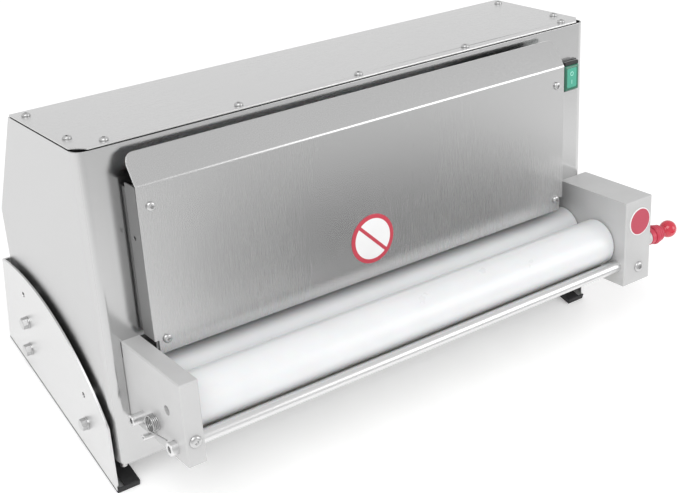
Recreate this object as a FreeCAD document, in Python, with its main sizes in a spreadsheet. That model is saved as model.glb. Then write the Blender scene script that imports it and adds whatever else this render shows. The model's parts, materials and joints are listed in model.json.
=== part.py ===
import FreeCAD, Part
import math
import os
import re
import Sketcher

# Bench-top dough sheeter with two rollers.
# Everything is laid out in the machine's own upright frame and then leaned back on its brackets:
# x = 0 is the housing's left side, y = 0 its front panel, z = 0 the top of the left roller block.

DIMENSIONS = {
    # housing of folded sheet
    "body_width": 566, "body_depth": 194, "lid_depth": 133.5, "top_height": 174, "shoulder_height": 69,
    "front_bottom": -119, "rear_bottom": -62, "sheet_thick": 1.5, "corner_radius": 10, "lid_gap": 0.8,
    "lean": 17.9,
    # side brackets and feet
    "bracket_gap": 4, "bracket_thick": 2, "bracket_flange": 20, "bolt_shank": 3, "spacer_radius": 7,
    # rollers
    "roller_radius": 24, "roller_gap": 0.8, "rear_axis_y": -6.4, "roller_axis_z": -45,
    "roller_start": 35, "roller_length": 498.6, "shaft_radius": 8, "bush_radius": 11, "fit": 0.05,
    "gap_travel": 3.5,
    # roller blocks
    "left_block_x": 16.8, "left_block_thick": 17.5, "left_reach": 101, "left_bottom": -77,
    "right_block_x": 534.3, "right_block_thick": 37.4, "right_reach": 93, "right_top": 7,
    "right_bottom": -85, "tongue_depth": 31, "tongue_top": -16, "tongue_bottom": -74,
    "case_wall": 6.7, "cover_thick": 6, "slot_depth": 12.3, "slide_half": 11,
    # gears
    "teeth": 16, "tip_radius": 27.2, "root_radius": 19.9, "gear_x": 543, "gear_width": 10,
    # scraper under the front roller
    "rod_y": -82, "rod_z": -64.8, "rod_radius": 6, "rod_reach": 6.5, "blade_thick": 1.2, "blade_clear": 0.3,
    # feed chute
    "chute_left": 36.5, "chute_right": 512, "chute_face": 25, "chute_low": -11, "chute_step": 2,
    "chute_bend": 141, "lip_top": 165, "lip_back": 9, "lip_corner": 6, "chute_flange": 19,
    # thickness lever with its index plunger
    "arm_length": 27.8, "arm_x": 572.4, "arm_thick": 6, "cam_radius": 16, "cam_x": 561.5,
    "cam_thick": 3.7, "groove_start": 9, "pin_radius": 1.5, "plunger_radius": 2.5,
    "ball_radius": 9.2, "ball_x": 610,
    # power switch
    "switch_x": 529.5, "switch_z": 106, "switch_wide": 22.2, "switch_tall": 27,
    # drive inside the housing
    "drive_y": 38.7, "drive_z": -26.3, "motor_y": 96, "motor_z": 4, "motor_radius": 46,
    "gearbox_x": 440, "gearbox_length": 78,
}

FRONT_AXIS_Y = "rear_axis_y - 2 * roller_radius - roller_gap"

# Fixed places of fasteners and holes: (x, y) on the lid, (x, z) on the chute, (y, z) on the sides.
LID_SCREWS = [(31, 9.6), (158, 9.6), (285.5, 9.6), (413, 9.6), (541, 9.6), (10.5, 35), (10.5, 119), (555.5, 35),
              (555.5, 119)]
CHUTE_SCREWS = [(47.9, 122), (502, 123), (502, 1.5), (48.2, 1.8)]
REAR_SCREWS = [(x, z) for x in (12, 283, 554) for z in (-50, 60)]
BOTTOM_EDGE = [("0.6", "-142"), ("218", "-72")]
BOLT_PLACES = [(159.4, -35.5), (163.8, -65.6), (48.3, -94.2)]
BRACKET_HOLES = [(157.8, -5.7), (45.6, -63.8)]
COVER_SCREWS = [(-84.5, -76), (-8.5, -76), (-84.5, -2), (-8.5, -2)]
TONGUE_BOLTS = (-28, -62)
SPRING_POSTS = [(5, -25.7, -61.6), (2.6, -46, -68.5)]
V = FreeCAD.Vector
AXES = {
    "+x": V(1, 0, 0), "-x": V(-1, 0, 0), "+y": V(0, 1, 0), "-y": V(0, -1, 0), "+z": V(0, 0, 1), "-z": V(0, 0, -1),
}

doc = FreeCAD.newDocument("DoughSheeter")
dims = doc.addObject("Spreadsheet::Sheet", "Dims")
for row, (alias, value) in enumerate(DIMENSIONS.items(), start=1):
    dims.set(f"A{row}", alias)
    dims.set(f"B{row}", str(value))
    dims.setAlias(f"B{row}", alias)
doc.recompute()

pieces = []
housing_screws = []


def named(expression):
    """Turn plain dimension names into references to the sheet."""
    return re.sub(r"[a-z]\w*", lambda word: "Dims." + word.group(0) if word.group(0) in DIMENSIONS else word.group(0),
                  str(expression))


def number(expression):
    """Work a dimension expression out with the sheet's present values."""
    values = {alias: float(dims.get(alias)) for alias in DIMENSIONS}
    words = re.sub(r"[a-z]\w*", lambda word: repr(values[word.group(0)]), str(expression))
    total = dims.evalExpression(words)
    return float(total)


def bind(thing, **sizes):
    """Bind properties to expressions; a double underscore in a name stands for a dot."""
    for prop, expression in sizes.items():
        thing.setExpression(prop.replace("__", "."), named(expression))
    return thing


def at(thing, x, y, z):
    """Bind an object's position."""
    return bind(thing, Placement__Base__x=x, Placement__Base__y=y, Placement__Base__z=z)


def box(x, y, z, wide, deep, tall):
    """A block with its lowest corner at x, y, z."""
    block = bind(doc.addObject("Part::Box", "Block"), Length=wide, Width=deep, Height=tall)
    return at(block, x, y, z)


def cylinder(axis, radius, length, x, y, z):
    """A round bar that starts at x, y, z and runs along the axis."""
    bar = bind(doc.addObject("Part::Cylinder", "Bar"), Radius=radius, Height=length)
    bar.Placement = FreeCAD.Placement(V(), FreeCAD.Rotation(V(0, 0, 1), AXES[axis]))
    return at(bar, x, y, z)


def cone(axis, near, far, length, x, y, z):
    """A truncated cone that starts at x, y, z and runs along the axis."""
    taper = bind(doc.addObject("Part::Cone", "Taper"), Radius1=near, Radius2=far, Height=length)
    taper.Placement = FreeCAD.Placement(V(), FreeCAD.Rotation(V(0, 0, 1), AXES[axis]))
    return at(taper, x, y, z)


def ring_about_x(mean_radius, wire_radius, x, y, z):
    """A torus round the X direction."""
    ring = bind(doc.addObject("Part::Torus", "Ring"), Radius1=mean_radius, Radius2=wire_radius)
    ring.Placement = FreeCAD.Placement(V(), FreeCAD.Rotation(V(0, 0, 1), AXES["+x"]))
    return at(ring, x, y, z)


def fuse(*members):
    """Join shapes into one solid."""
    joined = doc.addObject("Part::MultiFuse", "Joined")
    joined.Shapes = list(members)
    joined.Refine = True
    return joined


def cut(base, *tools):
    """Take shapes away from a base."""
    trimmed = doc.addObject("Part::Cut", "Trimmed")
    trimmed.Base = base
    trimmed.Tool = tools[0] if len(tools) == 1 else fuse(*tools)
    return trimmed


def common(first, second):
    """Keep what two shapes share."""
    shared = doc.addObject("Part::Common", "Shared")
    shared.Base = first
    shared.Tool = second
    return shared


def soften(base, size, where, kind="Part::Fillet"):
    """Round or chamfer the edges whose middle passes the test."""
    doc.recompute()
    softened = doc.addObject(kind, "Softened")
    softened.Base = base
    chosen = []
    for index, edge in enumerate(base.Shape.Edges, start=1):
        middle = edge.valueAt((edge.FirstParameter + edge.LastParameter) / 2)
        if where(middle, edge):
            chosen.append((index, size, size))
    softened.Edges = chosen
    return softened


def profile(name, plane, corners, length, offset="0"):
    """A body padded from a closed outline on one of its origin planes, moved along the plane's normal.

    An outline's corner is (across, up); a third value "arc" makes the corner the middle of an arc.
    """
    body = doc.addObject("PartDesign::Body", name)
    sketch = body.newObject("Sketcher::SketchObject", name + "Outline")
    origin_plane = [feature for feature in body.Origin.OriginFeatures if feature.Role == plane][0]
    sketch.AttachmentSupport = (origin_plane, "")
    sketch.MapMode = "FlatFace"
    bind(sketch, AttachmentOffset__Base__z=offset)
    ends = [corner for corner in corners if len(corner) == 2]
    middles = {}
    previous = None
    for corner in corners:
        if len(corner) == 2:
            previous = corner
        else:
            middles[previous] = corner
    for index, start in enumerate(ends):
        finish = ends[(index + 1) % len(ends)]
        first = V(number(start[0]), number(start[1]), 0)
        last = V(number(finish[0]), number(finish[1]), 0)
        if start in middles:
            bulge = V(number(middles[start][0]), number(middles[start][1]), 0)
            sketch.addGeometry(Part.Arc(first, bulge, last), False)
        else:
            sketch.addGeometry(Part.LineSegment(first, last), False)
    for index, start in enumerate(ends):
        if start in middles or ends[index - 1] in middles:
            continue
        for kind, expression in (("DistanceX", start[0]), ("DistanceY", start[1])):
            place = Sketcher.Constraint(kind, -1, 1, index, 1, number(expression))
            added = sketch.addConstraint(place)
            sketch.setExpression(f"Constraints[{added}]", named(expression))
        sketch.addConstraint(Sketcher.Constraint("Coincident", index - 1 if index else len(ends) - 1, 2, index, 1))
    pad = body.newObject("PartDesign::Pad", name + "Pad")
    pad.Profile = sketch
    bind(pad, Length=length)
    return body


def turned(name, steps, axis, x, y, z):
    """A body revolved from (distance along, radius) steps and laid along an axis."""
    body = doc.addObject("PartDesign::Body", name)
    sketch = body.newObject("Sketcher::SketchObject", name + "Section")
    plane = [feature for feature in body.Origin.OriginFeatures if feature.Role == "XZ_Plane"][0]
    sketch.AttachmentSupport = (plane, "")
    sketch.MapMode = "FlatFace"
    points = [(radius, along) for along, radius in steps]
    for index, start in enumerate(points):
        finish = points[(index + 1) % len(points)]
        sketch.addGeometry(Part.LineSegment(V(*start, 0), V(*finish, 0)), False)
    for index in range(len(points)):
        sketch.addConstraint(Sketcher.Constraint("Coincident", index - 1 if index else len(points) - 1, 2, index, 1))
    spin = body.newObject("PartDesign::Revolution", name + "Turn")
    spin.Profile = sketch
    spin.ReferenceAxis = (sketch, ["V_Axis"])
    spin.Angle = 360
    body.Placement = FreeCAD.Placement(V(), FreeCAD.Rotation(V(0, 0, 1), AXES[axis]))
    return at(body, x, y, z)


def piece(label, *members):
    """Name a finished sub-part; several members stay separate solids of one group."""
    whole = doc.addObject("Part::Compound", "Piece")
    whole.Links = list(members)
    whole.Label = label
    pieces.append(whole)
    return whole


def pan_screw(axis, x, y, z, head=4, length=8):
    """A pan head screw: its head stands on the face at x, y, z and its shank goes in behind."""
    back = {"+": "-", "-": "+"}[axis[0]] + axis[1]
    step = AXES[axis] * 1.3
    seat = cylinder(axis, head, 1.3, x, y, z)
    crown = cone(axis, head, 0.62 * head, 1.3, f"{x} + {step.x}", f"{y} + {step.y}", f"{z} + {step.z}")
    shank = cylinder(back, 0.48 * head, length, x, y, z)
    return fuse(seat, crown, shank)


def hex_bolt(axis, x, y, z, flats=10, length=7.4):
    """A hexagon bolt with its washer, seated on the face at x, y, z."""
    back = {"+": "-", "-": "+"}[axis[0]] + axis[1]
    washer = cylinder(axis, 0.62 * flats, 1.2, x, y, z)
    head = doc.addObject("Part::Prism", "Hexagon")
    head.Polygon = 6
    bind(head, Circumradius=flats / math.sqrt(3), Height=5)
    head.Placement = FreeCAD.Placement(V(), FreeCAD.Rotation(V(0, 0, 1), AXES[axis]))
    step = AXES[axis] * 1.2
    at(head, f"{x} + {step.x}", f"{y} + {step.y}", f"{z} + {step.z}")
    shank = cylinder(back, "bolt_shank", length, x, y, z)
    return fuse(washer, head, shank)


def socket_screw(axis, x, y, z, shank=2, length=12):
    """A socket head cap screw seated on the face at x, y, z."""
    back = {"+": "-", "-": "+"}[axis[0]] + axis[1]
    head = cylinder(axis, 1.75 * shank, 2 * shank, x, y, z)
    socket = cylinder(axis, 0.85 * shank, 1.5 * shank, *[
        f"{place} + {offset * shank}" for place, offset in zip((x, y, z), AXES[axis])])
    return fuse(cut(head, socket), cylinder(back, shank, length, x, y, z))


# ---------------------------------------------------------------- housing

SIDE_PROFILE = [
    ("0", "front_bottom"), ("body_depth", "rear_bottom"), ("body_depth", "shoulder_height"),
    ("lid_depth", "top_height"), ("0", "top_height"),
]


def housing_shell():
    """Front and both sides folded from one sheet, with windows for the roller and the switch."""
    outer = profile("HousingOuter", "YZ_Plane", SIDE_PROFILE, "body_width")
    low = "front_bottom - body_depth"
    outer = soften(outer, number("corner_radius"), lambda middle, edge: (
        abs(middle.y) < 0.01 and abs(middle.z - 27) < 30 and edge.Length > 200 and edge.BoundBox.XLength < 0.01))
    inner = box("sheet_thick", "sheet_thick", low, "body_width - 2 * sheet_thick", "body_depth", "4 * body_depth")
    inner = soften(inner, number("corner_radius - sheet_thick"), lambda middle, edge: (
        edge.BoundBox.ZLength > 300 and middle.y < 10))
    lid_room = box(-1, -1, "top_height - lid_gap - sheet_thick", "body_width + 2", "body_depth", 10)
    window = box("left_block_x - 0.4", -1, "tongue_bottom - 2.4", 545.8, 5, "-1 - tongue_bottom + 2.4")
    switch_hole = box("switch_x + 4", -1, "switch_z + 2", "switch_wide - 8", 5, "switch_tall - 3")
    bolt_holes = [cylinder("+x", 3.1, "body_width + 4", -2, y, z) for y, z in BOLT_PLACES]
    return piece("housing_shell", cut(outer, inner, lid_room, window, switch_hole, *bolt_holes))


def top_lid():
    """Flat lid with nipped front corners and two stiffening ribs that drop inside the shell."""
    plate = box("0.5", "0.5", "top_height - sheet_thick", "body_width - 1", "lid_depth - 0.5", "sheet_thick")
    plate = soften(plate, number("corner_radius + 2"), lambda middle, edge: (
        edge.BoundBox.ZLength > 1 and middle.y < 1), "Part::Chamfer")
    holes = [cylinder("-z", 2, 8, x, y, "top_height + 1") for x, y in LID_SCREWS]
    ribs = [box(14, y, "top_height - sheet_thick - 8", "body_width - 28", "sheet_thick", 8)
            for y in (14, "lid_depth - 5")]
    piece("top_lid", cut(plate, *holes), *ribs)
    housing_screws.extend(pan_screw("+z", x, y, "top_height", length=6) for x, y in LID_SCREWS)


def rear_cover():
    """Sloped sheet and upright back sheet with ventilation slots; they meet along the shoulder."""
    inset = "sheet_thick + 0.1"
    wide = "body_width - 2 * sheet_thick - 0.2"
    slope = profile("RearSlope", "YZ_Plane", [
        ("lid_depth + 0.4", "top_height"), ("lid_depth + 0.4", "top_height - 2.6"),
        ("body_depth - sheet_thick", "shoulder_height - 0.4"), ("body_depth", "shoulder_height")], wide, inset)
    upright = profile("RearUpright", "YZ_Plane", [
        ("body_depth - sheet_thick", "shoulder_height - 0.4"), ("body_depth - sheet_thick", "rear_bottom + 2"),
        ("body_depth", "rear_bottom + 2"), ("body_depth", "shoulder_height")], wide, inset)
    slots = [box(90 + 34 * column, "body_depth - 5", -10 + 14 * line, 24, 10, 4)
             for column in range(6) for line in range(4)]
    gland_hole = cylinder("+y", 6.2, 12, 500, "body_depth - 6", -35)
    holes = [cylinder("+y", 2, 8, x, "body_depth - 7", z) for x, z in REAR_SCREWS]
    piece("rear_cover", cut(upright, *slots, gland_hole, *holes), slope)
    housing_screws.extend(pan_screw("+y", x, "body_depth", z, length=6) for x, z in REAR_SCREWS)


def base_plate():
    """Slanted floor of the housing with four studs that clamp it to the bracket flanges."""
    floor = profile("BaseFloor", "YZ_Plane", [
        ("sheet_thick + 0.1", "front_bottom + 1.9"), ("body_depth - sheet_thick - 0.1", "rear_bottom + 1.5"),
        ("body_depth - sheet_thick - 0.1", "rear_bottom + 3"), ("sheet_thick + 0.1", "front_bottom + 3.4")],
        "body_width - 2 * sheet_thick - 0.2", "sheet_thick + 0.1")
    room = box("sheet_thick + 0.1", "sheet_thick + 0.1", "front_bottom - 5", "body_width - 2 * sheet_thick - 0.2",
               "body_depth", 80)
    room = soften(room, number("corner_radius"), lambda middle, edge: (
        edge.BoundBox.ZLength > 70 and middle.y < 10))
    slope = "(rear_bottom - front_bottom) / body_depth"
    places = [(x, y, f"front_bottom + 3 + {y} * {slope}") for x in (9, 557) for y in (14, 170)]
    holes = [cylinder("-z", 3.3, 24, x, y, f"{z} + 4") for x, y, z in places]
    piece("base_plate", cut(common(floor, room), *holes))
    piece("base_studs", *[cylinder("-z", 3.3, 16, x, y, z) for x, y, z in places])


# ---------------------------------------------------------------- side brackets and feet


def bracket_solid():
    """Left side bracket: an arched plate with inward flanges along its foot and its rear edge."""
    outer_x = "-bracket_gap - bracket_thick"
    plate = profile("BracketPlate", "YZ_Plane", [
        BOTTOM_EDGE[0], BOTTOM_EDGE[1], ("200", "17"), ("92", "-3", "arc"), ("1.6", "-79")],
        "bracket_thick", outer_x)
    foot = profile("BracketFoot", "YZ_Plane", [
        ("0.6", "-142"), ("218", "-72"), ("217.4", "-70.1"), ("0", "-140.1")], "bracket_flange", outer_x)
    rear = profile("BracketRear", "YZ_Plane", [
        ("218", "-72"), ("200", "17"), ("198", "16.6"), ("216", "-72.4")], "bracket_flange - 6", outer_x)
    holes = [cylinder("+x", 2.6, 6, "-bracket_gap - 4", y, z) for y, z in BRACKET_HOLES]
    holes += [cylinder("+x", 3.3, 6, "-bracket_gap - 4", y, z) for y, z in BOLT_PLACES]
    return cut(fuse(plate, foot, rear), *holes)


def foot_strip(mirrored):
    """Rubber channel pushed over the bracket's foot flange."""
    along = FreeCAD.Vector(217.4, 70, 0).normalize()
    reach = 2.2
    under = f"{reach * along.x}"
    aside = f"{reach * along.y}"
    low = [(f"0.6 + {aside}", f"-142 - {under}"), (f"218 + {aside}", f"-72 - {under}"), ("218", "-72"),
           ("0.6", "-142")]
    start = "-bracket_gap - bracket_thick"
    strip = profile("FootUnder", "YZ_Plane", low, "bracket_flange + 2", start)
    high = [("0", "-140.1"), ("213.6", "-71.3"), (f"213.6 - {aside}", f"-71.3 + {under}"),
            (f"0 - {aside}", f"-140.1 + {under}")]
    top = profile("FootTop", "YZ_Plane", high, "bracket_flange - bracket_thick - 3",
                  "-bracket_gap + 5")
    lip = profile("FootLip", "YZ_Plane", [low[0], low[1], high[2], high[3]], 2, f"{start} + bracket_flange")
    whole = fuse(strip, top, lip)
    return mirror(whole) if mirrored else whole


def mirror(source):
    """The same shape on the other side of the housing."""
    twin = doc.addObject("Part::Mirroring", "Twin")
    twin.Source = source
    twin.Normal = V(1, 0, 0)
    bind(twin, Base__x="body_width / 2")
    return twin


def brackets():
    """Both side brackets with their spacers, bolts and rubber feet."""
    left = bracket_solid()
    piece("left_bracket", left)
    piece("right_bracket", mirror(left))
    piece("left_foot_strip", foot_strip(False))
    piece("right_foot_strip", foot_strip(True))
    spacers = []
    bolts = []
    for y, z in BOLT_PLACES:
        spacers.append(cut(cylinder("+x", "spacer_radius", "bracket_gap", "-bracket_gap", y, z),
                           cylinder("+x", 3.2, "bracket_gap + 2", "-bracket_gap - 1", y, z)))
        spacers.append(cut(cylinder("+x", "spacer_radius", "bracket_gap", "body_width", y, z),
                           cylinder("+x", 3.2, "bracket_gap + 2", "body_width - 1", y, z)))
        bolts.append(hex_bolt("-x", "-bracket_gap - bracket_thick", y, z))
        bolts.append(hex_bolt("+x", "body_width + bracket_gap + bracket_thick", y, z))
    piece("bracket_spacers", *spacers)
    piece("bracket_bolts", *bolts)


# ---------------------------------------------------------------- feed chute

def chute():
    """Feed plate with a leaning lip and side flanges, and the two frames that carry it."""
    inside = "-chute_face + sheet_thick"
    bent = profile("ChuteBend", "YZ_Plane", [
        ("-chute_face", "chute_low"), (inside, "chute_low"), (inside, "chute_bend - 0.5"),
        ("-lip_back + 1.2", "lip_top - 0.8"), ("-lip_back", "lip_top"), ("-chute_face", "chute_bend")],
        "chute_right - chute_left", "chute_left")
    outline = profile("ChuteOutline", "XZ_Plane", [
        ("chute_left + 4", "chute_low - 1"), ("chute_right - 4", "chute_low - 1"),
        ("chute_right - 4", "chute_step"), ("chute_right + 1", "chute_step"),
        ("chute_right + 1", "lip_top - lip_corner"), ("chute_right - lip_corner", "lip_top + 1"),
        ("chute_left + lip_corner", "lip_top + 1"), ("chute_left - 1", "lip_top - lip_corner"),
        ("chute_left - 1", "chute_step"), ("chute_left + 4", "chute_step")], "chute_face + 5")
    face = common(bent, outline)
    flanges = [box(x, "-chute_face + 0.2", "chute_step", "sheet_thick", "chute_flange",
                   "chute_bend - chute_step - 1")
               for x in ("chute_left", "chute_right - sheet_thick")]
    hole = cylinder("+x", 2, 5, "chute_left - 1", "-chute_face + 13", 93)
    screw_holes = [cylinder("+y", 2.2, 6, x, "-chute_face - 2", z) for x, z in CHUTE_SCREWS]
    piece("chute_plate", cut(fuse(face, *flanges), hole, *screw_holes))
    frames = []
    for x, web_x in (("chute_left + 2", "chute_left + 2"), ("chute_right - 20", "chute_right - 3.5")):
        web = box(web_x, f"{inside} + 0.2", 4, 1.5, "chute_face - sheet_thick - 0.3", 130)
        front = box(x, f"{inside} + 0.2", 4, 18, 1.5, 130)
        back = box(x, -1.6, 4, 18, 1.5, 130)
        threads = [cylinder("+y", 2.2, 6, sx, f"{inside} - 2", sz) for sx, sz in CHUTE_SCREWS]
        low_tab = box(x, f"{inside} + 0.2", -6, 18, 1.5, 12)
        frames.append(cut(fuse(web, front, back, low_tab), *threads))
    piece("chute_frames", *frames)
    piece("chute_screws", *[pan_screw("-y", x, "-chute_face", z, length=5) for x, z in CHUTE_SCREWS])
    rim = cut(cylinder("-y", 24, 0.6, 267, "-chute_face", 28), cylinder("-y", 21, 2, 267, "-chute_face + 0.5", 28))
    field = cylinder("-y", 20.9, 0.5, 267, "-chute_face", 28)
    piece("sign_disc", fuse(rim, field))


# ---------------------------------------------------------------- roller blocks

def slide_slot(x, wide):
    """Window in which a sliding bush travels along Y."""
    clear = 0.3
    return box(x, f"{FRONT_AXIS_Y} - slide_half - gap_travel - {clear + 0.2}", f"roller_axis_z - slide_half - {clear}",
               wide, f"2 * slide_half + gap_travel + {2 * clear + 0.4}", f"2 * slide_half + {2 * clear}")


def edge_break(block, outside):
    """Small chamfer on the long outside edges of a block."""
    return soften(block, 1.2, lambda middle, edge: outside(middle), "Part::Chamfer")


def left_block():
    """Solid block for the rollers' left ends; its tongue passes into the housing."""
    body = box("left_block_x", "-left_reach", "left_bottom", "left_block_thick", "left_reach", "-left_bottom")
    body = edge_break(body, lambda middle: middle.y < -100 or (middle.x < 17 and middle.y < -1))
    tongue = box("left_block_x", -1, "tongue_bottom", "left_block_thick", "tongue_depth + 1",
                 "tongue_top - tongue_bottom")
    inner_x = "left_block_x + left_block_thick - slot_depth"
    bush_bore = cylinder("+x", "bush_radius", "slot_depth + 1", inner_x, "rear_axis_y", "roller_axis_z")
    slot = slide_slot(inner_x, "slot_depth + 1")
    rod_bore = cylinder("+x", "rod_radius + fit", "left_block_thick + 2", "left_block_x - 1", "rod_y", "rod_z")
    plain_hole = cylinder("+x", 4.5, 6, "left_block_x - 1", -73.5, -34)
    post_holes = [cylinder("+x", radius, 9, "left_block_x - 1", y, z) for radius, y, z in SPRING_POSTS]
    set_screw = cylinder("+y", 2.7, 10, 25.5, "-left_reach - 1", "rod_z + 10.7")
    bolts = [cylinder("+x", 3.1, 20, "left_block_x - 1", 24, z) for z in TONGUE_BOLTS]
    holes = [bush_bore, slot, rod_bore, plain_hole, set_screw, *post_holes, *bolts]
    piece("left_block", cut(fuse(body, tongue), *holes))


def right_block():
    """Gear case: a deep block with a gear room behind its outer cover."""
    body = box("right_block_x", "-right_reach", "right_bottom", "right_block_thick", "right_reach",
               "right_top - right_bottom")
    body = edge_break(body, lambda middle: middle.y < -92)
    tongue = box("right_block_x", -1, "tongue_bottom", "27.7", "tongue_depth + 1", "tongue_top - tongue_bottom")
    room_x = "right_block_x + case_wall"
    gear_room = box(room_x, -86, -73, 24.7, 87, 56)
    tongue_room = box(room_x, 0.5, -73, 15, 44, 73)
    cover_seat = box("right_block_x + right_block_thick - cover_thick", -88, -80, "cover_thick + 1", 83, 82)
    bush_bore = cylinder("+x", "bush_radius", "case_wall + 1", "right_block_x - 0.5", "rear_axis_y",
                         "roller_axis_z")
    slot = slide_slot("right_block_x - 1", "case_wall + 2")
    rod_bore = cylinder("+x", "rod_radius + fit", 5.5, "right_block_x - 0.5", "rod_y", "rod_z")
    tapped = [cylinder("-x", 2, 12, "right_block_x + right_block_thick - cover_thick + 0.5", y, z)
              for y, z in COVER_SCREWS]
    set_screw = cylinder("+y", 2.7, 6, 555, "-right_reach - 1", "rod_z - 3")
    piece("right_block", cut(fuse(body, tongue), gear_room, tongue_room, cover_seat, bush_bore, slot, rod_bore,
                             set_screw, *tapped))
    cover_x = "right_block_x + right_block_thick - cover_thick"
    cover = box(cover_x, -87.8, -79.8, "cover_thick", 82.6, 81.6)
    bore = cylinder("+x", 6.3, 10, f"{cover_x} - 1", FRONT_AXIS_Y, "roller_axis_z")
    track_x = f"{cover_x} + cover_thick - 2.5"
    track_outer = cylinder("+x", "arm_length + 3.4", 2.6, track_x, FRONT_AXIS_Y, "roller_axis_z")
    track_inner = cylinder("+x", "arm_length - 3.4", 2.6, track_x, FRONT_AXIS_Y, "roller_axis_z")
    quarter = box(cover_x, f"{FRONT_AXIS_Y} - 40", "roller_axis_z - 6", "cover_thick + 1", 46, 46)
    track = common(cut(track_outer, track_inner), quarter)
    screw_holes = [cylinder("+x", 2.1, 10, f"{cover_x} - 1", y, z) for y, z in COVER_SCREWS]
    index_holes = []
    for step in range(7):
        turn = math.radians(15 * step)
        index_holes.append(cylinder("+x", 2.8, 3, f"{cover_x} + 1.4",
                                    f"{FRONT_AXIS_Y} - arm_length * {math.cos(turn)}",
                                    f"roller_axis_z + arm_length * {math.sin(turn)}"))
    piece("gear_case_cover", cut(cover, bore, track, *screw_holes, *index_holes))
    piece("cover_screws", *[socket_screw("+x", "right_block_x + right_block_thick", y, z) for y, z in COVER_SCREWS])
    guides = [box(554.5, -86, f"roller_axis_z + {offset}", 6.2, 58, 3) for offset in (11.4, -14.4)]
    piece("slide_guides", *guides)


def block_trim():
    """Retaining screws of the scraper rod, bolts of the tongues and the coloured disc."""
    left = pan_screw("-y", 25.5, "-left_reach", "rod_z + 10.7", head=5.6, length=8)
    right = pan_screw("-y", 555, "-right_reach", "rod_z - 3", head=5.6, length=4)
    piece("block_front_screws", left, right)
    piece("tongue_bolts", *[hex_bolt("+x", "left_block_x + left_block_thick", 24, z, length=16)
                            for z in TONGUE_BOLTS])
    piece("red_disc", cylinder("-y", 14.75, 0.8, 554, "-right_reach", -17))


# ---------------------------------------------------------------- rollers and bushes

def roller_tube(axis_y):
    """White plastic roller with small end chamfers, bored for its shaft."""
    tube = cylinder("+x", "roller_radius", "roller_length", "roller_start", axis_y, "roller_axis_z")
    tube = soften(tube, 1.0, lambda middle, edge: edge.Length > 100 and edge.BoundBox.XLength < 1, "Part::Chamfer")
    return cut(tube, cylinder("+x", "shaft_radius", "roller_length + 2", "roller_start - 1", axis_y, "roller_axis_z"))


def bush(x, long):
    """Plain bearing ring of the rear roller."""
    ring = cylinder("+x", "bush_radius", long, x, "rear_axis_y", "roller_axis_z")
    return cut(ring, cylinder("+x", "shaft_radius + fit", f"{long} + 2", f"{x} - 1", "rear_axis_y", "roller_axis_z"))


def slide(x, long):
    """Square bush that carries the front roller's shaft and slides in a block."""
    block = box(x, f"{FRONT_AXIS_Y} - slide_half", "roller_axis_z - slide_half", long, "2 * slide_half",
                "2 * slide_half")
    return cut(block, cylinder("+x", "shaft_radius + fit", f"{long} + 2", f"{x} - 1", FRONT_AXIS_Y, "roller_axis_z"))


def rollers():
    """Both rollers with their shafts, the fixed bushes and the sliding bushes."""
    piece("rear_roller", roller_tube("rear_axis_y"))
    piece("front_roller", roller_tube(FRONT_AXIS_Y))
    piece("rear_roller_shaft", cylinder("+x", "shaft_radius", 531, 23, "rear_axis_y", "roller_axis_z"))
    journal = cylinder("+x", 5, 6.5, 554, FRONT_AXIS_Y, "roller_axis_z")
    piece("front_roller_shaft", fuse(cylinder("+x", "shaft_radius", 531, 23, FRONT_AXIS_Y, "roller_axis_z"), journal))
    inner_x = "left_block_x + left_block_thick - slot_depth"
    piece("rear_roller_bushes", bush(f"{inner_x} + 0.2", "slot_depth - 0.2"), bush("right_block_x", "case_wall"))
    piece("slide_bushes", slide(f"{inner_x} + 0.3", "slot_depth - 0.6"),
          slide("right_block_x + 0.3", "case_wall - 0.6"))
    outer = box(555, f"{FRONT_AXIS_Y} - 15", "roller_axis_z - slide_half", 6, 26, "2 * slide_half")
    pin_seat = cylinder("+x", "pin_radius", 5, 558.2, f"{FRONT_AXIS_Y} - groove_start", "roller_axis_z")
    journal_bore = cylinder("+x", "5 + fit", 8, 554, FRONT_AXIS_Y, "roller_axis_z")
    piece("outer_slide_block", cut(outer, journal_bore, pin_seat))
    piece("cam_follower_pin", cylinder("+x", "pin_radius", 5.5, 558.2, f"{FRONT_AXIS_Y} - groove_start",
                                       "roller_axis_z"))


# ---------------------------------------------------------------- gears

TOOTH_ROOT = math.radians(7.4)
TOOTH_TIP = math.radians(2.1)


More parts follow.
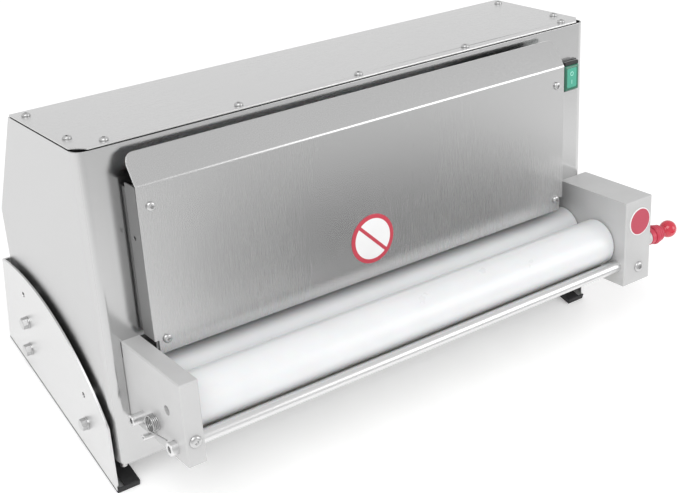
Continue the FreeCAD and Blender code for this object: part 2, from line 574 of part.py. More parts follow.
def gear(name, first_angle, y, z, bore):
    """Spur gear: a rim, one tapered tooth repeated round it, and a bore."""
    body = doc.addObject("PartDesign::Body", name)
    plane = [feature for feature in body.Origin.OriginFeatures if feature.Role == "YZ_Plane"][0]
    rim_sketch = body.newObject("Sketcher::SketchObject", name + "Rim")
    rim_sketch.AttachmentSupport = (plane, "")
    rim_sketch.MapMode = "FlatFace"
    rim_sketch.addGeometry(Part.Circle(V(), V(0, 0, 1), number("root_radius")), False)
    rim_sketch.addGeometry(Part.Circle(V(), V(0, 0, 1), number(bore)), False)
    rim_sketch.addConstraint(Sketcher.Constraint("Coincident", 0, 3, -1, 1))
    rim_sketch.addConstraint(Sketcher.Constraint("Coincident", 1, 3, -1, 1))
    for circle, size in ((0, "root_radius"), (1, bore)):
        added = rim_sketch.addConstraint(Sketcher.Constraint("Radius", circle, number(size)))
        rim_sketch.setExpression(f"Constraints[{added}]", named(size))
    rim = body.newObject("PartDesign::Pad", name + "RimPad")
    rim.Profile = rim_sketch
    bind(rim, Length="gear_width")
    tooth_sketch = body.newObject("Sketcher::SketchObject", name + "Tooth")
    tooth_sketch.AttachmentSupport = (plane, "")
    tooth_sketch.MapMode = "FlatFace"
    inside = number("root_radius") - 0.6
    outside = number("tip_radius")
    corners = [(inside, -TOOTH_ROOT), (outside, -TOOTH_TIP), (outside, TOOTH_TIP), (inside, TOOTH_ROOT)]
    points = [V(radius * math.cos(first_angle + turn), radius * math.sin(first_angle + turn), 0)
              for radius, turn in corners]
    for index, point in enumerate(points):
        tooth_sketch.addGeometry(Part.LineSegment(point, points[(index + 1) % 4]), False)
    tooth = body.newObject("PartDesign::Pad", name + "ToothPad")
    tooth.Profile = tooth_sketch
    bind(tooth, Length="gear_width")
    doc.recompute()
    pattern = body.newObject("PartDesign::PolarPattern", name + "Teeth")
    pattern.Originals = [tooth]
    pattern.Axis = (rim_sketch, ["N_Axis"])
    pattern.Angle = 360
    bind(pattern, Occurrences="teeth")
    body.Tip = pattern
    return at(body, "gear_x", y, z)


def gears():
    """Roller gears inside the gear case and the gearbox's own gear behind them."""
    pitch = 2 * math.pi / number("teeth")
    piece("rear_roller_gear", gear("RearGear", 0, "rear_axis_y", "roller_axis_z", "shaft_radius"))
    piece("front_roller_gear", gear("FrontGear", pitch / 2, FRONT_AXIS_Y, "roller_axis_z", "shaft_radius"))
    piece("drive_gear", gear("DriveGear", pitch / 2, "drive_y", "drive_z", "6"))
    piece("drive_shaft", cylinder("+x", 6, 54, 500, "drive_y", "drive_z"))


# ---------------------------------------------------------------- scraper and its spring

def scrapers():
    """Sprung scraper under the front roller and the fixed one under the rear roller."""
    rod_start = "left_block_x - rod_reach"
    rod = cylinder("+x", "rod_radius", "right_block_x + 4 - left_block_x + rod_reach", rod_start, "rod_y", "rod_z")
    blade_top = "roller_axis_z - roller_radius - blade_clear"
    flat = box("roller_start + 1", "rod_y - 2", f"{blade_top} - blade_thick - 2", "roller_length - 2", 9,
               "blade_thick + 2")
    end_hole = cylinder("+x", 3, 6, f"{rod_start} - 1", "rod_y", "rod_z")
    cross_hole = cylinder("+z", 1, 14, f"{rod_start} + 5", "rod_y + 2", "rod_z - 7")
    piece("front_scraper_rod", cut(rod, end_hole, cross_hole, flat))
    blade = box("roller_start + 1.5", "rod_y - 2", f"{blade_top} - blade_thick", "roller_length - 3", 27,
                "blade_thick")
    piece("front_scraper_blade", blade)
    rear_blade = box("roller_start + 1.5", -4, f"{blade_top} - blade_thick", "roller_length - 3", 34, "blade_thick")
    rail = box("left_block_x + left_block_thick", 20, f"{blade_top} - blade_thick - 8",
               "right_block_x - left_block_x - left_block_thick", 12, 8)
    screw_x = [60 + 111 * step for step in range(5)]
    blade_holes = [cylinder("-z", 1.8, 10, x, 26, f"{blade_top} + 1") for x in screw_x]
    piece("rear_scraper_blade", cut(rear_blade, *blade_holes))
    piece("rear_scraper_rail", cut(rail, *[cylinder("-z", 1.7, 10, x, 26, f"{blade_top} + 1") for x in screw_x]))
    piece("rear_scraper_screws", *[pan_screw("+z", x, 26, blade_top, head=3.5, length=6) for x in screw_x])


def spring_parts():
    """Torsion spring on the left block: five rings for its turns, two legs, and the posts that hold it."""
    turns = [ring_about_x(7, 0.8, 9 + 1.5 * step, -52, -54) for step in range(5)]
    long_leg = leg((9, -53, -61), (12.5, -75.5, -60))
    short_leg = leg((15, -51, -61), (13, -31.5, -64.5))
    piece("scraper_spring", fuse(*turns, long_leg, short_leg))
    anchor = cylinder("+x", 4.95, 20, 4.8, SPRING_POSTS[0][1], SPRING_POSTS[0][2])
    anchor_hole = cylinder("+x", 2.6, 6, 3.8, SPRING_POSTS[0][1], SPRING_POSTS[0][2])
    stop = cylinder("+x", 2.55, 20, 4.8, SPRING_POSTS[1][1], SPRING_POSTS[1][2])
    stop_hole = cylinder("+x", 1.2, 5, 3.8, SPRING_POSTS[1][1], SPRING_POSTS[1][2])
    piece("spring_posts", cut(anchor, anchor_hole), cut(stop, stop_hole))


def leg(start, finish):
    """Straight wire between two places."""
    first = V(*start)
    run = V(*finish) - first
    wire = bind(doc.addObject("Part::Cylinder", "Leg"), Radius=0.8, Height=run.Length)
    wire.Placement = FreeCAD.Placement(first, FreeCAD.Rotation(V(0, 0, 1), run))
    return wire


# ---------------------------------------------------------------- thickness lever

def spiral_groove():
    """Quarter-turn groove whose radius grows evenly with the lever's angle."""
    start = number("groove_start")
    rate = number("gap_travel") / (math.pi / 2)
    half = number("pin_radius") + 0.25
    spare = math.radians(15)
    steps = 10
    turns = [-spare + (math.pi / 2 + 2 * spare) * step / steps for step in range(steps + 1)]

    def edge(offset):
        curve = Part.BSplineCurve()
        radii = [start + rate * turn + offset for turn in turns]
        curve.interpolate([V(0, -radius * math.cos(turn), -radius * math.sin(turn))
                           for radius, turn in zip(radii, turns)])
        return curve.toShape()

    inner = edge(-half)
    outer = edge(half)
    close_start = Part.makeLine(inner.Vertexes[0].Point, outer.Vertexes[0].Point)
    close_end = Part.makeLine(inner.Vertexes[-1].Point, outer.Vertexes[-1].Point)
    face = Part.Face(Part.Wire(Part.__sortEdges__([inner, close_end, outer, close_start])))
    groove = doc.addObject("Part::Feature", "SpiralGroove")
    groove.Shape = face.extrude(V(2.6, 0, 0))
    return at(groove, "cam_x - 0.1", FRONT_AXIS_Y, "roller_axis_z")


def thickness_lever():
    """Scroll cam on a stub shaft, the outside arm, and the sprung index plunger with its red grips."""
    disc = cylinder("+x", "cam_radius", "cam_thick", "cam_x", FRONT_AXIS_Y, "roller_axis_z")
    stub = cylinder("+x", 6.2, "arm_x + arm_thick - cam_x - cam_thick + 0.5", "cam_x + cam_thick - 0.5", FRONT_AXIS_Y,
                    "roller_axis_z")
    piece("scroll_cam", fuse(cut(disc, spiral_groove()), stub))
    hub = cylinder("+x", 10, "arm_thick", "arm_x", FRONT_AXIS_Y, "roller_axis_z")
    bar = box("arm_x", f"{FRONT_AXIS_Y} - arm_length", "roller_axis_z - 8", "arm_thick", "arm_length", 16)
    end = cylinder("+x", 8, "arm_thick", "arm_x", HANDLE_Y, "roller_axis_z")
    stub_bore = cylinder("+x", 6.2, "arm_thick + 2", "arm_x - 1", FRONT_AXIS_Y, "roller_axis_z")
    pin_bore = cylinder("+x", "plunger_radius + fit", "arm_thick + 2", "arm_x - 1", HANDLE_Y, "roller_axis_z")
    piece("lever_arm", cut(fuse(hub, bar, end), stub_bore, pin_bore))
    collar = cylinder("+x", 8.6, 6, "arm_x + arm_thick", HANDLE_Y, "roller_axis_z")
    collar_bore = cylinder("+x", "plunger_radius + fit", 8, "arm_x + arm_thick - 1", HANDLE_Y, "roller_axis_z")
    piece("handle_collar", cut(collar, collar_bore))
    piece("handle_sleeve", turned("Sleeve", SLEEVE_STEPS, "+x", "arm_x + arm_thick + 6", HANDLE_Y, "roller_axis_z"))
    piece("plunger_pin", fuse(
        cylinder("+x", "plunger_radius", "ball_x - 5 - arm_x + 2.7", "arm_x - 2.7", HANDLE_Y, "roller_axis_z"),
        cylinder("+x", 4.4, 1.5, "arm_x + arm_thick + 6.4", HANDLE_Y, "roller_axis_z")))
    coils = [ring_about_x(3.8, 0.5, f"arm_x + arm_thick + {8.6 + 1.7 * step}", HANDLE_Y, "roller_axis_z")
             for step in range(3)]
    piece("plunger_spring", *coils)
    ball = doc.addObject("Part::Sphere", "Ball")
    bind(ball, Radius="ball_radius")
    at(ball, "ball_x", HANDLE_Y, "roller_axis_z")
    neck = cylinder("+x", 4.6, 5, "ball_x - ball_radius - 0.4", HANDLE_Y, "roller_axis_z")
    bore = cylinder("+x", "plunger_radius", 6.5, "ball_x - ball_radius - 2.3", HANDLE_Y, "roller_axis_z")
    piece("ball_knob", cut(fuse(ball, neck), bore))


HANDLE_Y = f"{FRONT_AXIS_Y} - arm_length"
SLEEVE_STEPS = [
    (0, 5.2), (0, 9.4), (1.2, 10.3), (4.2, 10.3), (4.8, 9.5), (5.4, 10.3), (8.4, 9.9), (9, 9), (9.6, 9.4), (12.6, 8.2),
    (14.6, 5.4), (14.6, 2.7), (12.2, 2.7), (12.2, 5.2),
]


# ---------------------------------------------------------------- switch

def power_switch():
    """Black bezel, rocker and the green splash hood."""
    bezel = box("switch_x", -2.4, "switch_z - 2", "switch_wide", 2.3, "switch_tall + 6")
    shell = box("switch_x + 4.3", -0.5, "switch_z + 2.4", "switch_wide - 8.6", 16.5, "switch_tall - 3.8")
    hollow = box("switch_x + 5.3", -4, "switch_z + 3.4", "switch_wide - 10.6", 18, "switch_tall - 5.8")
    piece("switch_bezel", cut(fuse(bezel, shell), hollow))
    rocker = profile("Rocker", "YZ_Plane", [
        ("-3.4", "switch_z + 5.4"), ("6", "switch_z + 9"), ("6", "switch_z + 18.4"),
        ("-3.4", "switch_z + 22"), ("-2.6", "switch_z + 13.7")], "switch_wide - 12.8", "switch_x + 6.4")
    pivot = cylinder("+x", 1.5, "switch_wide - 11", "switch_x + 5.5", 6, "switch_z + 13.7")
    piece("switch_rocker", fuse(rocker, pivot))
    hood_outer = box("switch_x + 1", -8, "switch_z", "switch_wide - 2", 5.6, "switch_tall")
    hood_outer = soften(hood_outer, 2, lambda middle, edge: middle.y < -7)
    hood_inner = box("switch_x + 2", -6.9, "switch_z + 1", "switch_wide - 4", 6, "switch_tall - 2")
    piece("switch_hood", cut(hood_outer, hood_inner))


# ---------------------------------------------------------------- drive inside the housing

def drive():
    """Gearbox, motor and its electrics, all fixed to the floor by one bracket."""
    case = box("gearbox_x", 22, -66, "gearbox_length", 112, 116)
    case = soften(case, 6, lambda middle, edge: edge.BoundBox.XLength > 70)
    piece("gearbox_case", cut(case, cylinder("+x", 6.2, 30, 499, "drive_y", "drive_z")))
    body = cylinder("-x", "motor_radius", 176, "gearbox_x", "motor_y", "motor_z")
    fins = [box(286, f"motor_y - 1.5 + {offset}", "motor_z + 40", 140, 3, 12) for offset in (-20, -10, 0, 10, 20)]
    piece("motor_body", fuse(body, *fins))
    cowl = cut(cylinder("-x", "motor_radius + 1.5", 34, 263, "motor_y", "motor_z"),
               *[cylinder("-x", 3, 6, 232, f"motor_y + {26 * math.cos(turn)}", f"motor_z + {26 * math.sin(turn)}")
                 for turn in [math.radians(45 * step) for step in range(8)]])
    piece("fan_cowl", cowl)
    bracket = profile("DriveFoot", "YZ_Plane", [
        ("40", "-103"), ("130", "-76.4"), ("130", "-66.2"), ("40", "-66.2")], 60, "gearbox_x + 8")
    piece("drive_bracket", bracket)
    piece("terminal_box", box(300, "motor_y - 26", "motor_z + 52.2", 70, 52, 28))
    piece("motor_capacitor", cylinder("+x", 17, 62, 300, "motor_y + 20", "motor_z + 98"))
    gland = fuse(hex_nut("+y", 500, "body_depth", -35, 15, 4), cylinder("-y", 6, 12, 500, "body_depth", -35),
                 cylinder("+y", 6, 9, 500, "body_depth + 4", -35))
    piece("cable_gland", cut(gland, cylinder("-y", 3.4, 30, 500, "body_depth + 14", -35)))


def hex_nut(axis, x, y, z, flats, long):
    """Plain hexagon."""
    nut = doc.addObject("Part::Prism", "Nut")
    nut.Polygon = 6
    bind(nut, Circumradius=flats / math.sqrt(3), Height=long)
    nut.Placement = FreeCAD.Placement(V(), FreeCAD.Rotation(V(0, 0, 1), AXES[axis]))
    return at(nut, x, y, z)


# ---------------------------------------------------------------- assembly

housing_shell()
top_lid()
rear_cover()
piece("housing_screws", *housing_screws)
base_plate()
brackets()
chute()
left_block()
right_block()
block_trim()
rollers()
gears()
scrapers()
spring_parts()
thickness_lever()
power_switch()
drive()
doc.recompute()

lean = FreeCAD.Placement(V(), FreeCAD.Rotation(V(1, 0, 0), -number("lean")))
extent = FreeCAD.BoundBox()
for part in pieces:
    leaned = part.Shape.copy()
    leaned.Placement = lean
    extent.add(leaned.optimalBoundingBox(False))
stand = FreeCAD.Placement(V(-extent.Center.x, -extent.Center.y, -extent.ZMin), lean.Rotation)
for part in pieces:
    part.Placement = stand
doc.recompute()

for thing in doc.Objects:
    if {"Invalid", "Error"} & set(thing.State):
        raise RuntimeError(f"{thing.Name} ({thing.Label}) failed: {thing.State}")
for part in pieces:
    if part.Shape.isNull() or not part.Shape.isValid():
        raise RuntimeError(f"{part.Label} has no sound shape")

os.makedirs("parts", exist_ok=True)
for part in pieces:
    part.Shape.exportStep(f"parts/{part.Label}.step")

PLACES = {
    "front roller axis": (0, FRONT_AXIS_Y, "roller_axis_z"),
    "rear roller axis": (0, "rear_axis_y", "roller_axis_z"),
    "drive gear axis": (0, "drive_y", "drive_z"),
    "scraper rod axis": (0, "rod_y", "rod_z"),
    "handle axis": (0, HANDLE_Y, "roller_axis_z"),
    "rocker axis": (0, 6, "switch_z + 13.7"),
}
for label, place in PLACES.items():
    print(label, stand.multVec(V(*[number(value) for value in place])))
print("shift", stand.Base, "pieces", len(pieces))
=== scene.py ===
"""Looks of a bench-top dough sheeter: finishes, detailed pieces, studio and camera.

Every piece is modelled in the machine's own upright frame, in metres, and then leaned back on its
brackets with Lean, because that is how the sheets and blocks are square to each other.  In that
frame x runs along the rollers from the housing's left side, y goes back from its front panel and z
goes up from the top of the left roller block.
"""

import json
import logging
import math
from dataclasses import dataclass, field
from enum import Enum
from typing import Callable, Iterable, Sequence

import bpy
from mathutils import Matrix, Vector


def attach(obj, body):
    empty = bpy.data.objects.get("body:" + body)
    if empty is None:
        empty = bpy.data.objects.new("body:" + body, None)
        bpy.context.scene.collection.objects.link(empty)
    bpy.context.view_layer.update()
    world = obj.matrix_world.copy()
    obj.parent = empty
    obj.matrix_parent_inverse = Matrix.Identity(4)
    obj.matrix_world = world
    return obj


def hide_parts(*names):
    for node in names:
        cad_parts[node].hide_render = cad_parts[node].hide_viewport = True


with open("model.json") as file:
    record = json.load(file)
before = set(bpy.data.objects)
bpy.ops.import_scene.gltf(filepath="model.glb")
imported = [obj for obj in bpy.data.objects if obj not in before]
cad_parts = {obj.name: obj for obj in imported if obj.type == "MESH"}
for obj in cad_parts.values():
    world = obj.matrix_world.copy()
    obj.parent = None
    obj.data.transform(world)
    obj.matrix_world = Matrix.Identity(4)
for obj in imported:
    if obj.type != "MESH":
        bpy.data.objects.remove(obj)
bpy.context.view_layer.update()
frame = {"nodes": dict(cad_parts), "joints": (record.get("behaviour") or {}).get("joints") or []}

MM = 0.001
LOG = logging.getLogger("dough_sheeter")
Point = tuple[float, float, float]
Step = tuple[float, float]
PlaceTest = Callable[[Vector, Vector], bool]
Material = bpy.types.Material
Piece = bpy.types.Object
Output = bpy.types.NodeSocket
Tree = bpy.types.NodeTree
Shader = bpy.types.Node

EVEN_PULL = (1.0, 1.0, 1.0)
PATTERN_LOW = 0.3
PATTERN_HIGH = 0.7
POINT_MM = 0.001
SEAM_MM = 0.002
COPY_SEAM_MM = 0.01
COPY_FLAT_DEGREES = 0.5
SMOOTH_DEGREES = 35.0


# ------------------------------------------------------------------ the leaned frame


@dataclass(frozen=True)
class Lean:
    """The machine's upright frame and the way it leans back on its brackets.

    The rear roller's joint gives the link between the two frames.
    """

    degrees: float = 17.9
    roller_mm: Point = (284.0, -6.4, -45.0)

    def matrix(self) -> Matrix:
        """Return the matrix from the upright frame, in metres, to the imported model's frame."""
        joints = {joint["name"]: joint for joint in frame["joints"]}
        hub = Vector(joints["rear_roller_spin"]["pos_m"])
        turn = Matrix.Rotation(-math.radians(self.degrees), 4, "X")
        return Matrix.Translation(hub) @ turn @ Matrix.Translation(-Vector(self.roller_mm) * MM)


LEAN = Lean()
LEANED = LEAN.matrix()


# ------------------------------------------------------------------ finishes


class Grain(Enum):
    """Direction in which a surface was brushed or turned, as the stretch of its noise pattern."""

    ALONG_X = (1.5, 120.0, 120.0)
    ALONG_Y = (120.0, 1.5, 120.0)
    ALONG_Z = (120.0, 120.0, 1.5)
    EVEN = (60.0, 60.0, 60.0)


def new_material(name: str) -> tuple[Material, Tree, Shader]:
    """Create a material with its shader.

    Args:
        name: the material's name.

    Returns:
        The material, its node tree and its Principled shader.
    """
    material = bpy.data.materials.new(name)
    material.use_nodes = True
    tree = material.node_tree
    tree.nodes.clear()
    output = tree.nodes.new("ShaderNodeOutputMaterial")
    shader = tree.nodes.new("ShaderNodeBsdfPrincipled")
    tree.links.new(shader.outputs["BSDF"], output.inputs["Surface"])
    return material, tree, shader


def noise(tree: Tree, stretch: Point, scale: float, detail: float = 4.0) -> Output:
    """Add a noise pattern that reads Object coordinates, squared up to the leaned machine.

    Args:
        tree: node tree to add to.
        stretch: scale of the pattern along the machine's X, Y and Z.
        scale: overall scale.
        detail: noise detail.

    Returns:
        The pattern's output.
    """
    place = tree.nodes.new("ShaderNodeTexCoord")
    square = tree.nodes.new("ShaderNodeMapping")
    square.inputs["Rotation"].default_value = (math.radians(LEAN.degrees), 0.0, 0.0)
    pull = tree.nodes.new("ShaderNodeMapping")
    pull.inputs["Scale"].default_value = stretch
    pattern = tree.nodes.new("ShaderNodeTexNoise")
    pattern.inputs["Scale"].default_value = scale
    pattern.inputs["Detail"].default_value = detail
    tree.links.new(place.outputs["Object"], square.inputs["Vector"])
    tree.links.new(square.outputs["Vector"], pull.inputs["Vector"])
    tree.links.new(pull.outputs["Vector"], pattern.inputs["Vector"])
    return pattern.outputs["Fac"]


def spread(tree: Tree, source: Output, low: float, high: float) -> Output:
    """Map a pattern onto a range of values.

    Args:
        tree: node tree to add to.
        source: the pattern's output.
        low: value where the pattern is low.
        high: value where the pattern is high.

    Returns:
        The mapped output.
    """
    ranges = tree.nodes.new("ShaderNodeMapRange")
    ranges.inputs["From Min"].default_value = PATTERN_LOW
    ranges.inputs["From Max"].default_value = PATTERN_HIGH
    ranges.inputs["To Min"].default_value = low
    ranges.inputs["To Max"].default_value = high
    tree.links.new(source, ranges.inputs["Value"])
    return ranges.outputs["Result"]


def tint(tree: Tree, source: Output, dark: Sequence[float],
         light: Sequence[float]) -> Output:
    """Blend two colours by a pattern.

    Args:
        tree: node tree to add to.
        source: the pattern's output.
        dark: colour where the pattern is low.
        light: colour where the pattern is high.

    Returns:
        The colour output.
    """
    ramp = tree.nodes.new("ShaderNodeValToRGB")
    ramp.color_ramp.elements[0].position = PATTERN_LOW
    ramp.color_ramp.elements[1].position = PATTERN_HIGH
    ramp.color_ramp.elements[0].color = (*dark, 1.0)
    ramp.color_ramp.elements[1].color = (*light, 1.0)
    tree.links.new(source, ramp.inputs["Fac"])
    return ramp.outputs["Color"]


def relief(tree: Tree, source: Output, shader: Shader, strength: float,
           depth: float) -> None:
    """Give the shader a bump from a pattern.

    Args:
        tree: node tree to add to.
        source: the pattern's output.
        shader: the shader that takes the bump.
        strength: bump strength.
        depth: bump height in metres.
    """
    bump = tree.nodes.new("ShaderNodeBump")
    bump.inputs["Strength"].default_value = strength
    bump.inputs["Distance"].default_value = depth
    tree.links.new(source, bump.inputs["Height"])
    tree.links.new(bump.outputs["Normal"], shader.inputs["Normal"])


@dataclass(frozen=True)
class BrushedMetal:
    """Metal with a fine directional grain and slow changes of gloss from handling."""

    name: str
    tone: float
    roughness: float
    grain: Grain = Grain.ALONG_X
    warmth: float = 0.0
    relief_mm: float = 0.001
    relief_strength: float = 0.25
    grain_scale: float = 26.0
    cloud_scale: float = 6.0
    tone_swing: float = 0.02
    gloss_swing: float = 0.02

    def make(self) -> Material:
        """Build the material and return it."""
        material, tree, shader = new_material(self.name)
        shader.inputs["Metallic"].default_value = 1.0
        lines = noise(tree, self.grain.value, self.grain_scale, 6.0)
        clouds = noise(tree, EVEN_PULL, self.cloud_scale, 1.0)
        dark, light = (
            [self.tone * share + self.warmth, self.tone * share, self.tone * share - self.warmth]
            for share in (1.0 - self.tone_swing, 1.0 + self.tone_swing))
        tree.links.new(tint(tree, lines, dark, light), shader.inputs["Base Color"])
        gloss = tree.nodes.new("ShaderNodeMath")
        gloss.operation = "ADD"
        swing = self.gloss_swing
        tree.links.new(spread(tree, lines, -swing, swing), gloss.inputs[0])
        tree.links.new(spread(tree, clouds, self.roughness - swing, self.roughness + swing), gloss.inputs[1])
        tree.links.new(gloss.outputs["Value"], shader.inputs["Roughness"])
        relief(tree, lines, shader, self.relief_strength, self.relief_mm * MM)
        return material


@dataclass(frozen=True)
class BlastedAlloy:
    """Satin aluminium with a very fine, even grit."""

    name: str
    tone: float = 0.60
    roughness: float = 0.48
    metallic: float = 0.25
    darkest: float = 0.94
    lightest: float = 1.04
    gloss_swing: float = 0.06
    cloud_scale: float = 22.0
    grit_scale: float = 2600.0
    grit_mm: float = 0.02
    grit_strength: float = 0.35

    def make(self) -> Material:
        """Build the material and return it."""
        material, tree, shader = new_material(self.name)
        shader.inputs["Metallic"].default_value = self.metallic
        grit = noise(tree, EVEN_PULL, self.grit_scale, 2.0)
        clouds = noise(tree, EVEN_PULL, self.cloud_scale)
        dark, light = [self.tone * self.darkest] * 3, [self.tone * self.lightest] * 3
        tree.links.new(tint(tree, clouds, dark, light), shader.inputs["Base Color"])
        low, high = self.roughness - self.gloss_swing, self.roughness + self.gloss_swing
        tree.links.new(spread(tree, clouds, low, high), shader.inputs["Roughness"])
        relief(tree, grit, shader, self.grit_strength, self.grit_mm * MM)
        return material


@dataclass(frozen=True)
class Moulded:
    """Plastic, rubber or enamel: a colour with slight mottling, a skin texture and a sheen."""

    name: str
    color: Point
    roughness: float
    mottle: float = 0.06
    grit_scale: float = 900.0
    grit_mm: float = 0.01
    coat: float = 0.0
    subsurface: float = 0.0
    cloud_scale: float = 30.0
    gloss_swing: float = 0.15
    grit_strength: float = 0.3
    coat_roughness: float = 0.08
    glow_depth: float = 0.004

    def make(self) -> Material:
        """Build the material and return it."""
        material, tree, shader = new_material(self.name)
        clouds = noise(tree, EVEN_PULL, self.cloud_scale)
        grit = noise(tree, EVEN_PULL, self.grit_scale, 3.0)
        dark = [channel * (1.0 - self.mottle) for channel in self.color]
        light = [channel * (1.0 + self.mottle) for channel in self.color]
        tree.links.new(tint(tree, clouds, dark, light), shader.inputs["Base Color"])
        low, high = self.roughness * (1.0 - self.gloss_swing), self.roughness * (1.0 + self.gloss_swing)
        tree.links.new(spread(tree, clouds, low, high), shader.inputs["Roughness"])
        shader.inputs["Coat Weight"].default_value = self.coat
        shader.inputs["Coat Roughness"].default_value = self.coat_roughness
        if self.subsurface:
            shader.inputs["Subsurface Weight"].default_value = self.subsurface
            shader.inputs["Subsurface Scale"].default_value = self.glow_depth
        relief(tree, grit, shader, self.grit_strength, self.grit_mm * MM)
        return material


# ------------------------------------------------------------------ bench tools


def deselect() -> None:
    """Leave every object unselected."""
    if bpy.context.object and bpy.context.object.mode != "OBJECT":
        bpy.ops.object.mode_set(mode="OBJECT")
    bpy.ops.object.select_all(action="DESELECT")


def activate(piece: Piece) -> None:
    """Make one piece the only selected one, and the active one."""
    deselect()
    piece.select_set(True)
    bpy.context.view_layer.objects.active = piece


def settle(piece: Piece) -> None:
    """Apply a piece's place, turn and size to its mesh."""
    activate(piece)
    bpy.ops.object.transform_apply(location=True, rotation=True, scale=True)


def block(name: str, low: Point, high: Point) -> Piece:
    """Start a piece from a box.

    Args:
        name: the piece's name.
        low: lowest corner in mm, upright frame.
        high: highest corner in mm.

    Returns:
        The new object.
    """
    deselect()
    middle = (Vector(low) + Vector(high)) / 2 * MM
    bpy.ops.mesh.primitive_cube_add(size=1, location=middle)
    piece = bpy.context.object
    piece.name = name
    piece.scale = (Vector(high) - Vector(low)) * MM
    settle(piece)
    return piece


def prism(name: str, axis: str, radius: float, length: float, place: Point, sides: int = 48) -> Piece:
    """Start a piece from a many-sided bar that runs from a place along an axis.

    Args:
        name: the piece's name.
        axis: "+x", "-y" and so on.
        radius: corner radius in mm.
        length: length in mm.
        place: middle of its first end in mm.
        sides: number of sides.

    Returns:
        The new object.
    """
    deselect()
    bpy.ops.mesh.primitive_cylinder_add(vertices=sides, radius=radius * MM, depth=length * MM)
    piece = bpy.context.object
    piece.name = name
    piece.matrix_world = aim(axis, place) @ Matrix.Translation((0, 0, length / 2 * MM))
    settle(piece)
    return piece


def aim(axis: str, place: Point) -> Matrix:
    """Return the matrix that takes +Z at the origin to an axis at a place in mm."""
    sign = 1.0 if axis[0] == "+" else -1.0
    direction = Vector([sign if letter == axis[1] else 0.0 for letter in "xyz"])
    turn = Vector((0, 0, 1)).rotation_difference(direction).to_matrix().to_4x4()
    return Matrix.Translation(Vector(place) * MM) @ turn


def arc(along: float, radius: float, size: float, start: float, end: float, count: int = 6) -> list[Step]:
    """Return steps round an arc of a turned outline.

    Args:
        along: the arc centre's distance along the axis, in mm.
        radius: the arc centre's distance from the axis, in mm.
        size: the arc's own radius in mm.
        start: first angle in degrees; 0 points away from the axis and 90 points along it.
        end: last angle in degrees.
        count: number of runs.

    Returns:
        (distance along, radius) steps.
    """
    turns = [math.radians(start + (end - start) * step / count) for step in range(count + 1)]
    return [(along + size * math.sin(turn), max(radius + size * math.cos(turn), 0.0)) for turn in turns]


def lathe(name: str, axis: str, place: Point, steps: Sequence[Step], sides: int = 64) -> Piece:
    """Turn a piece: a disc is extruded and resized from step to step.

    Args:
        name: the piece's name.
        axis: direction that it runs in.
        place: its start in mm.
        steps: (distance along, radius) in mm; the first and the last are closed by a disc or a point.
        sides: number of sides.

    Returns:
        The new object.
    """
    deselect()
    first, radius = steps[0]
    bpy.ops.mesh.primitive_circle_add(vertices=sides, radius=max(radius, POINT_MM) * MM, fill_type="NGON",
                                      location=(0, 0, first * MM))
    piece = bpy.context.object
    piece.name = name
    settle(piece)
    bpy.ops.object.mode_set(mode="EDIT")
    bpy.ops.mesh.select_mode(type="FACE")
    bpy.ops.mesh.select_all(action="SELECT")
    before, size = first, max(radius, POINT_MM)
    for along, radius in steps[1:]:
        grown = max(radius, POINT_MM)
        bpy.ops.mesh.extrude_region_move(TRANSFORM_OT_translate={"value": (0, 0, (along - before) * MM)})
        if abs(grown - size) > 1e-9:
            ratio = grown / size
            bpy.ops.transform.resize(value=(ratio, ratio, 1), center_override=(0, 0, along * MM))
        before, size = along, grown
    bpy.ops.mesh.select_all(action="SELECT")
    bpy.ops.mesh.remove_doubles(threshold=SEAM_MM * MM)
    bpy.ops.mesh.normals_make_consistent(inside=False)
    bpy.ops.object.mode_set(mode="OBJECT")
    piece.matrix_world = aim(axis, place)
    settle(piece)
    return piece


def pick(piece: Piece, kind: str, test: PlaceTest) -> None:
    """Select faces, edges or points by a test in the upright frame, and stay in edit mode.

    Args:
        piece: object to work on.
        kind: "FACE", "EDGE" or "VERT".
        test: told the middle in mm and the normal, or for an edge its run in mm.
    """
    activate(piece)
    bpy.ops.object.mode_set(mode="EDIT")
    bpy.ops.mesh.select_mode(type=kind)
    bpy.ops.mesh.select_all(action="DESELECT")
    bpy.ops.object.mode_set(mode="OBJECT")
    mesh = piece.data
    if kind == "FACE":
        for polygon in mesh.polygons:
            polygon.select = test(polygon.center / MM, polygon.normal)
    elif kind == "EDGE":
        for edge in mesh.edges:
            one, two = (mesh.vertices[index].co for index in edge.vertices)
            edge.select = test((one + two) / 2 / MM, (two - one) / MM)
    else:
        for vertex in mesh.vertices:
            vertex.select = test(vertex.co / MM, vertex.normal)
    bpy.ops.object.mode_set(mode="EDIT")


def leave() -> None:
    """Go back to object mode."""
    bpy.ops.object.mode_set(mode="OBJECT")


def round_edges(piece: Piece, size: float, test: PlaceTest, segments: int = 6) -> None:
    """Round chosen edges by a bevel in edit mode.

    Args:
        piece: object to work on.
        size: width in mm.
        test: told each edge's middle and its run from end to end, both in mm.
        segments: number of runs round the bevel.
    """
    pick(piece, "EDGE", test)
    bpy.ops.mesh.bevel(offset=size * MM, segments=segments, affect="EDGES", clamp_overlap=True)
    leave()


def apply_modifier(piece: Piece, kind: str, **settings: object) -> None:
    """Add a modifier with its settings and apply it.

    Args:
        piece: object to work on.
        kind: Blender's name for the modifier.
        settings: its settings.
    """
    activate(piece)
    modifier = piece.modifiers.new(kind.title(), kind)
    for name, value in settings.items():
        setattr(modifier, name, value)
    bpy.ops.object.modifier_apply(modifier=modifier.name)


def break_edges(piece: Piece, size: float, segments: int = 2) -> None:
    """Take the sharpness off every edge that turns more than SMOOTH_DEGREES.

    Args:
        piece: object to work on.
        size: width in mm.
        segments: number of runs round the edge.
    """
    apply_modifier(piece, "BEVEL", width=size * MM, segments=segments, limit_method="ANGLE",
                   angle_limit=math.radians(SMOOTH_DEGREES), use_clamp_overlap=False)


